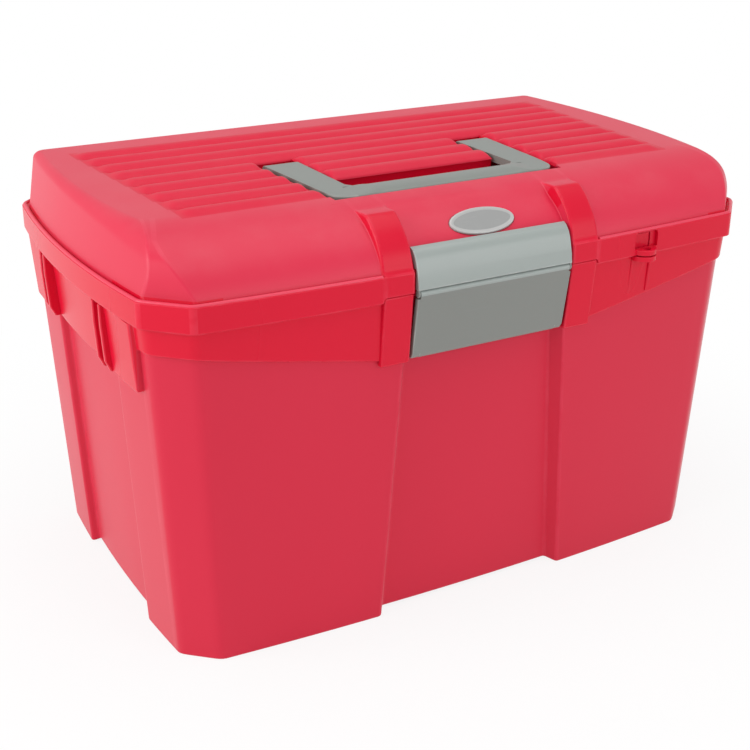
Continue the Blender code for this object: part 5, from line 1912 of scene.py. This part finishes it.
    def rim_path(self) -> List[Point]:
        """Points along the rim's bead, from the left upright round the back to the right.

        Returns:
            The points.
        """
        plan = RIM.inset(self.bead_inset)
        gap = PILASTER_OUT + self.pilaster_flank
        front = [gap + (plan.corner_x - gap) * i / 10 for i in range(11)]
        side = [plan.corner_y * (i / 10 - 1.0) for i in range(21)]
        back = [plan.corner_x * (1.0 - i / 10) for i in range(21)]
        path = [(x, -plan.front(x)) for x in front]
        path += [(plan.end(y), y) for y in side]
        path += [(x, plan.front(x)) for x in back]
        path += [(-plan.end(y), -y) for y in side]
        path += [(-x, -plan.front(x)) for x in reversed(front)]
        reaches = [0.0] * len(path)
        for i in (10, 11, 31, 32, 52, 53, 73, 74):
            reaches[i] = self.band_round
        line = round_line([Vector((x, y, self.bead_z)) for x, y in path], reaches, False, 4)
        return [tuple(point) for point, _ in line]

    def build_bead(self, tree: NodeTree) -> None:
        """Sweep the rolled bead round the rim.

        Args:
            tree: the sweeping geometry tree.
        """
        path = self.rim_path()
        mesh = bpy.data.meshes.new("lid_rim_bead")
        mesh.from_pydata(path, [(i, i + 1) for i in range(len(path) - 1)], [])
        bead = add_object("lid_rim_bead", mesh)
        # The bead takes the paler red that is painted as a highlight line.
        bake_tree(bead, tree, {"Radius": self.bead_radius, "Finish": self.palette.bead})
        settle(bead, Body.LID, Slot.RED)

    def rib_runs(self) -> List[RibRun]:
        """The runs of ribs: behind the handle, either side of it and inside it.

        Returns:
            The runs.
        """
        fade, stop = self.rib_fade, self.rib_stop
        near, far = self.reach(0), self.reach(4)
        return [
            RibRun("lid_ribs_back", 4, 5, (-self.reach(5), -self.reach(8)),
                   (self.reach(5), self.reach(8)), (fade, fade), flat_back=1.0),
            RibRun("lid_ribs_left", 5, 0, (-near, -far), (-self.slot(0), -self.slot(4)),
                   (fade, 0.0), (0.0, stop), flat_front=1.0),
            RibRun("lid_ribs_right", 5, 0, (self.slot(0), self.slot(4)), (near, far),
                   (0.0, fade), (stop, 0.0), flat_front=1.0),
            RibRun("lid_ribs_island", 3, 2, (-self.island, -self.island),
                   (self.island, self.island), (0.0, 0.0), (stop, stop)),
        ]

    def build_ribs(self, tree: NodeTree) -> None:
        """Lay the crowned ribs in their bed on the lid's top.

        Args:
            tree: the ribs' geometry tree.
        """
        for run in self.rib_runs():
            piece = add_object(run.name, bpy.data.meshes.new(run.name))
            bake_tree(piece, tree, {
                "Count": run.count, "First Y": self.rib_first + self.rib_pitch * run.first,
                "Pitch": self.rib_pitch, "Low Front": run.low[0], "Low Back": run.low[1],
                "High Front": run.high[0], "High Back": run.high[1],
                "Fade Low": run.fades[0], "Fade High": run.fades[1],
                "Stop Low": run.stops[0], "Stop High": run.stops[1],
                "Flat Front": run.flat_front, "Flat Back": run.flat_back,
                "Base Z": TOP_Z, "Height": self.rib_height, "Sole": self.rib_sole,
                "Groove": self.rib_groove, "Crest Bow": RIM.bow_front,
                "Crest Y": RIM.half_y - self.dome_offset - self.dome_run,
                "Bow Reach": RIM.corner_x,
                "Fall": (TOP_Z - self.dome_foot) / (2.0 * self.dome_run ** 2),
                "Finish": self.palette.ribs})
            piece.data.shade_smooth()
            piece.data.set_sharp_from_angle(angle=math.radians(50.0))
            settle(piece, Body.LID, Slot.RED)

    def build(self, ribs: NodeTree, sweep: NodeTree) -> None:
        """Dress the shell, what stands on it, its ribs, its bead and the plate.

        Args:
            ribs: the ribs' geometry tree.
            sweep: the sweeping geometry tree.
        """
        void = self.pocket(0.0, 0.0, OVER_TOP)
        cuts = [self.rib_field(), void, self.notch(), self.plate_seat()]
        shell = carve(self.shell(), [(cut, "DIFFERENCE") for cut in cuts])
        finish = self.palette.lid
        skin = add_zone(shaded("lid_shell", shell, finish), self.palette.band, self.in_band)
        settle(even_out(skin), Body.LID, Slot.RED, "lid")
        for name, bm in (("lid_handle_pocket", self.pocket_walls()),
                         ("lid_padlock_tab", self.eye_tab()),
                         ("lid_hinge_knuckles", self.knuckles())):
            settle(even_out(shaded(name, bm, self.palette.band)), Body.LID, Slot.RED)
        self.build_ribs(ribs)
        self.build_bead(sweep)
        plate = soften("badge", self.palette.plate, (0.0003,), 20.0)
        sink_field(plate, self.plate_rim, self.plate_sink, self.plate_field)
        settle(plate, Body.LID, Slot.PALE_GREY, "badge")


@dataclass
class Handle:
    """The carry handle that folds flat into the lid."""

    palette: Palette
    rounds: Tuple[float, ...] = (0.0009, 0.0005, 0.0003)
    grip_front: float = -0.0795
    grip_width: float = 0.0190
    grip_half: float = 0.0592
    inner_half: float = 0.0504
    grip_blend: float = 0.0150
    plate_low: float = TOP_Z - 0.0042
    plate_top: float = TOP_Z + 0.0002
    crown: float = 0.0015
    belly: float = 0.0022
    bar_power: float = 2.3
    plate_power: float = 9.0

    def section(self, x: float) -> List[Node3]:
        """Section of the grip: a plate at its ends that swells into a round bar.

        Args:
            x: place along the grip.

        Returns:
            The section's points.
        """
        share = min(1.0, (self.grip_half - abs(x)) / self.grip_blend)
        swell = share * share * (3.0 - 2.0 * share)
        power = 2.0 / (self.plate_power + (self.bar_power - self.plate_power) * swell)
        middle = (self.plate_low + self.plate_top) / 2
        half = (self.plate_top - self.plate_low) / 2
        ring = []
        for i in range(40):
            angle = 2 * math.pi * (i + 0.5) / 40
            side, rise = [math.copysign(abs(part) ** power, part)
                          for part in (math.cos(angle), math.sin(angle))]
            tall = half + swell * (self.crown if rise > 0.0 else self.belly)
            y = self.grip_front + self.grip_width * (0.5 + 0.4985 * side)
            ring.append(Node3(x, y, middle + tall * rise))
        return ring

    def bar(self) -> BMesh:
        """The grip itself, from arm to arm.

        Returns:
            The mesh.
        """
        places = [-self.grip_half + self.grip_blend * i / 8 for i in range(9)]
        places += [-place for place in reversed(places)]
        return soft_loft([self.section(x) for x in places], [0.0] * len(places))

    def build(self) -> None:
        """Dress the arms and the grip."""
        arms = soften("handle", self.palette.grey, self.rounds)
        bm = bmesh.new()
        bm.from_mesh(arms.data)
        bpy.data.objects.remove(arms, do_unlink=True)
        window = bmesh.new()
        half, inner = self.grip_half - 0.0003, self.inner_half
        back = self.grip_front + self.grip_width
        right = [(half, self.grip_front - 0.001), (half, back - 0.0004),
                 (inner, back - 0.0004), (inner, back + 0.0002)]
        add_profile(window, right + [(-x, y) for x, y in reversed(right)], "Z",
                    self.plate_low - 0.006, self.plate_top + 0.004)
        bm = carve(bm, [(window, "DIFFERENCE")])
        arms = shaded("handle_arms", bm, self.palette.grey)
        settle(even_out(arms), Body.HANDLE, Slot.GREY, "handle")
        grip = shaded("handle_grip", self.bar(), self.palette.grey)
        settle(grip, Body.HANDLE, Slot.GREY)


@dataclass
class Latch:
    """The front latch: a fixed cover on the lid, a swinging flap and their pin."""

    palette: Palette
    rounds: Tuple[float, ...] = (0.0006, 0.0003)
    pivot_y: float = -0.1252
    pivot_z: float = 0.1993
    barrel: float = 0.0019
    bore: float = 0.0013
    foot_z: float = 0.2015
    lug_in: float = 0.0446
    lug_out: float = 0.0481
    face_y: float = -0.1268
    face_slope: float = 0.0060 / 0.0383
    plate: float = 0.0026

    def cover(self) -> BMesh:
        """The cover with its lugs cut down to thin cheeks at its two ends.

        Returns:
            The mesh.
        """
        room = bmesh.new()
        for low, high in ((-self.lug_out, -self.lug_in), (self.lug_in, self.lug_out)):
            add_box(room, (low, high), (self.pivot_y - 0.004, self.pivot_y + 0.003),
                    (self.pivot_z - 0.004, self.foot_z - 0.00001))
        return carve(copy_node("latch_cover"), [(room, "DIFFERENCE")])

    def flap(self) -> BMesh:
        """The flap with its barrel and top edge carried on to the cover's cheeks.

        Returns:
            The mesh.
        """
        top = self.pivot_z
        faces = [(self.face_y + self.face_slope * drop, top - drop) for drop in (0.004, 0.006)]
        outline = [(self.pivot_y, top), (self.pivot_y - self.barrel + 0.0002, top - 0.0006)]
        outline += faces + [(y + self.plate, z) for y, z in reversed(faces)]
        outline += [(self.pivot_y + self.barrel - 0.0008, top - 0.0010)]
        ends, barrels, bores = bmesh.new(), bmesh.new(), bmesh.new()
        start, stop = self.lug_in - 0.0010, self.lug_out - SEAT
        for sign in (-1, 1):
            low, high = sorted((sign * start, sign * stop))
            add_profile(ends, outline, "X", low, high)
            add_cylinder(barrels, self.barrel - 0.00001, (low, self.pivot_y, top),
                         (high, self.pivot_y, top), 32)
            add_cylinder(bores, self.bore, (low - 0.002, self.pivot_y, top),
                         (high + 0.002, self.pivot_y, top), 24)
        return carve(copy_node("latch_flap"), [(ends, "UNION"), (barrels, "UNION"),
                                               (bores, "DIFFERENCE")])

    def build(self) -> None:
        """Dress the cover, the flap and the pin."""
        bm = self.cover()
        round_edges(bm, self.rounds)
        cover = shaded("latch_cover_moulded", bm, self.palette.pale_grey)
        add_zone(cover, self.palette.flap, lambda place: place.z < self.foot_z - 0.0003)
        settle(even_out(cover), Body.LID, Slot.PALE_GREY, "latch_cover")
        bm = self.flap()
        round_edges(bm, self.rounds)
        flap = shaded("latch_flap_moulded", bm, self.palette.flap)
        # Painted highlight: the flap's top strip at its barrel takes the paler latch grey as the
        # crease's pale line.
        add_zone(flap, self.palette.pale_grey, lambda place: place.z > self.pivot_z - 0.0012)
        settle(even_out(flap), Body.FLAP, Slot.GREY, "latch_flap")
        pin = soften("latch_pin", self.palette.steel, (0.0002,), 40.0)
        settle(pin, Body.LID, Slot.STEEL, "latch_pin")


@dataclass
class Tray:
    """The lift-out tray with its dividers and hand slot."""

    palette: Palette
    rounds: Tuple[float, ...] = (0.0007, 0.0004)

    def build(self) -> None:
        """Dress the tray."""
        pan = soften("tray", self.palette.tray, self.rounds)
        settle(pan, Body.TRAY, Slot.RED, "tray")


@dataclass
class SoftBox:
    """One large area light, aimed at a point."""

    name: str
    place: Point
    target: Point
    width: float
    height: float
    power: float

    def build(self) -> None:
        """Add the light."""
        data = bpy.data.lights.new(self.name, "AREA")
        data.shape = "RECTANGLE"
        data.size = self.width
        data.size_y = self.height
        data.energy = self.power
        lamp = add_object(self.name, data)
        lamp.location = self.place
        aim = Vector(self.target) - Vector(self.place)
        lamp.rotation_mode = "QUATERNION"
        lamp.rotation_quaternion = aim.to_track_quat("-Z", "Y")


@dataclass
class Studio:
    """Pale floor, soft light and the camera at the photograph's angle."""

    eye: Point = (-0.3863, -0.6758, 0.4289)
    yaw: float = 29.54
    pitch: float = -23.09
    roll: float = 0.31
    lens: float = 63.197
    sensor: float = 36.0
    floor_half: float = 8.0
    sky: float = 0.62

    def build_camera(self) -> None:
        """Set the camera where the photograph was taken from."""
        data = bpy.data.cameras.new("studio_camera")
        data.lens = self.lens
        data.sensor_width = self.sensor
        data.clip_start = 0.05
        data.clip_end = 60.0
        camera = add_object("studio_camera", data)
        yaw, pitch = math.radians(self.yaw), math.radians(self.pitch)
        ahead = Vector((math.sin(yaw) * math.cos(pitch), math.cos(yaw) * math.cos(pitch),
                        math.sin(pitch)))
        camera.location = self.eye
        camera.rotation_mode = "QUATERNION"
        turn = Quaternion((0.0, 0.0, 1.0), math.radians(self.roll))
        camera.rotation_quaternion = ahead.to_track_quat("-Z", "Y") @ turn
        bpy.context.scene.camera = camera

    def build_floor(self) -> None:
        """Lay a white floor that keeps the shadow and runs out into plain white."""
        bm = bmesh.new()
        bmesh.ops.create_grid(bm, x_segments=1, y_segments=1, size=self.floor_half)
        material, build, shader, place = new_material("studio_floor")
        paper = build.noise(place, 160.0, 3.0)
        build.feed(shader.inputs["Base Color"],
                   build.mix(paper, (0.86, 0.86, 0.86), (0.90, 0.90, 0.90)))
        shader.inputs["Roughness"].default_value = 0.9
        shader.inputs["Specular IOR Level"].default_value = 0.1
        light = build.add("ShaderNodeLightPath")
        seen = build.math("MAXIMUM", light.outputs["Is Camera Ray"],
                          light.outputs["Is Glossy Ray"])
        seen = build.math("MAXIMUM", seen, light.outputs["Is Transmission Ray"])
        radius = build.add("ShaderNodeVectorMath", {0: place}, operation="LENGTH")
        share = build.ramp(radius.outputs["Value"], 0.20, 0.46, 0.85, 1.0)
        white = build.add("ShaderNodeEmission", {"Color": (1.0, 1.0, 1.0), "Strength": 1.0})
        mixed = build.add("ShaderNodeMixShader")
        build.feed(mixed.inputs[0], build.times(seen, share))
        build.feed(mixed.inputs[1], shader.outputs[0])
        build.feed(mixed.inputs[2], white.outputs[0])
        output = material.node_tree.nodes["Material Output"]
        build.feed(output.inputs["Surface"], mixed.outputs[0])
        shaded("studio_floor", bm, material)

    def build_sky(self) -> None:
        """Light the scene evenly and show plain white behind it."""
        world = bpy.data.worlds.new("studio_world")
        bpy.context.scene.world = world
        world.use_nodes = True
        build = Tree(world.node_tree)
        back = world.node_tree.nodes["Background"]
        light = build.add("ShaderNodeLightPath")
        seen = light.outputs["Is Camera Ray"]
        strength = build.plus(self.sky, build.times(seen, 1.0 - self.sky))
        back.inputs["Color"].default_value = (1.0, 1.0, 1.0, 1.0)
        build.feed(back.inputs["Strength"], strength)

    def build_lights(self) -> None:
        """Hang the soft boxes: a key on the left, one overhead and a low front fill."""
        centre = (0.0, 0.0, 0.14)
        for box in (
            SoftBox("key_left", (-1.60, 0.10, 0.80), centre, 1.3, 1.2, 16.0),
            SoftBox("overhead", (0.10, -0.15, 1.75), centre, 1.6, 1.4, 9.5),
            SoftBox("front_fill", (0.75, -1.70, 0.70), centre, 1.4, 0.9, 7.5),
        ):
            box.build()

    def build(self) -> None:
        """Set the whole stage."""
        self.build_camera()
        self.build_floor()
        self.build_sky()
        self.build_lights()
        bpy.context.scene.view_settings.view_transform = "Standard"


def main() -> None:
    """Build the stage and every sub-assembly."""
    logging.basicConfig(level=logging.INFO, format="%(name)s: %(message)s")
    Studio().build()
    palette = Palette()
    Tub(palette).build()
    Lid(palette).build(rib_tree(), sweep_tree())
    Handle(palette).build()
    Latch(palette).build()
    Tray(palette).build()


if __name__ == "__main__":
    main()
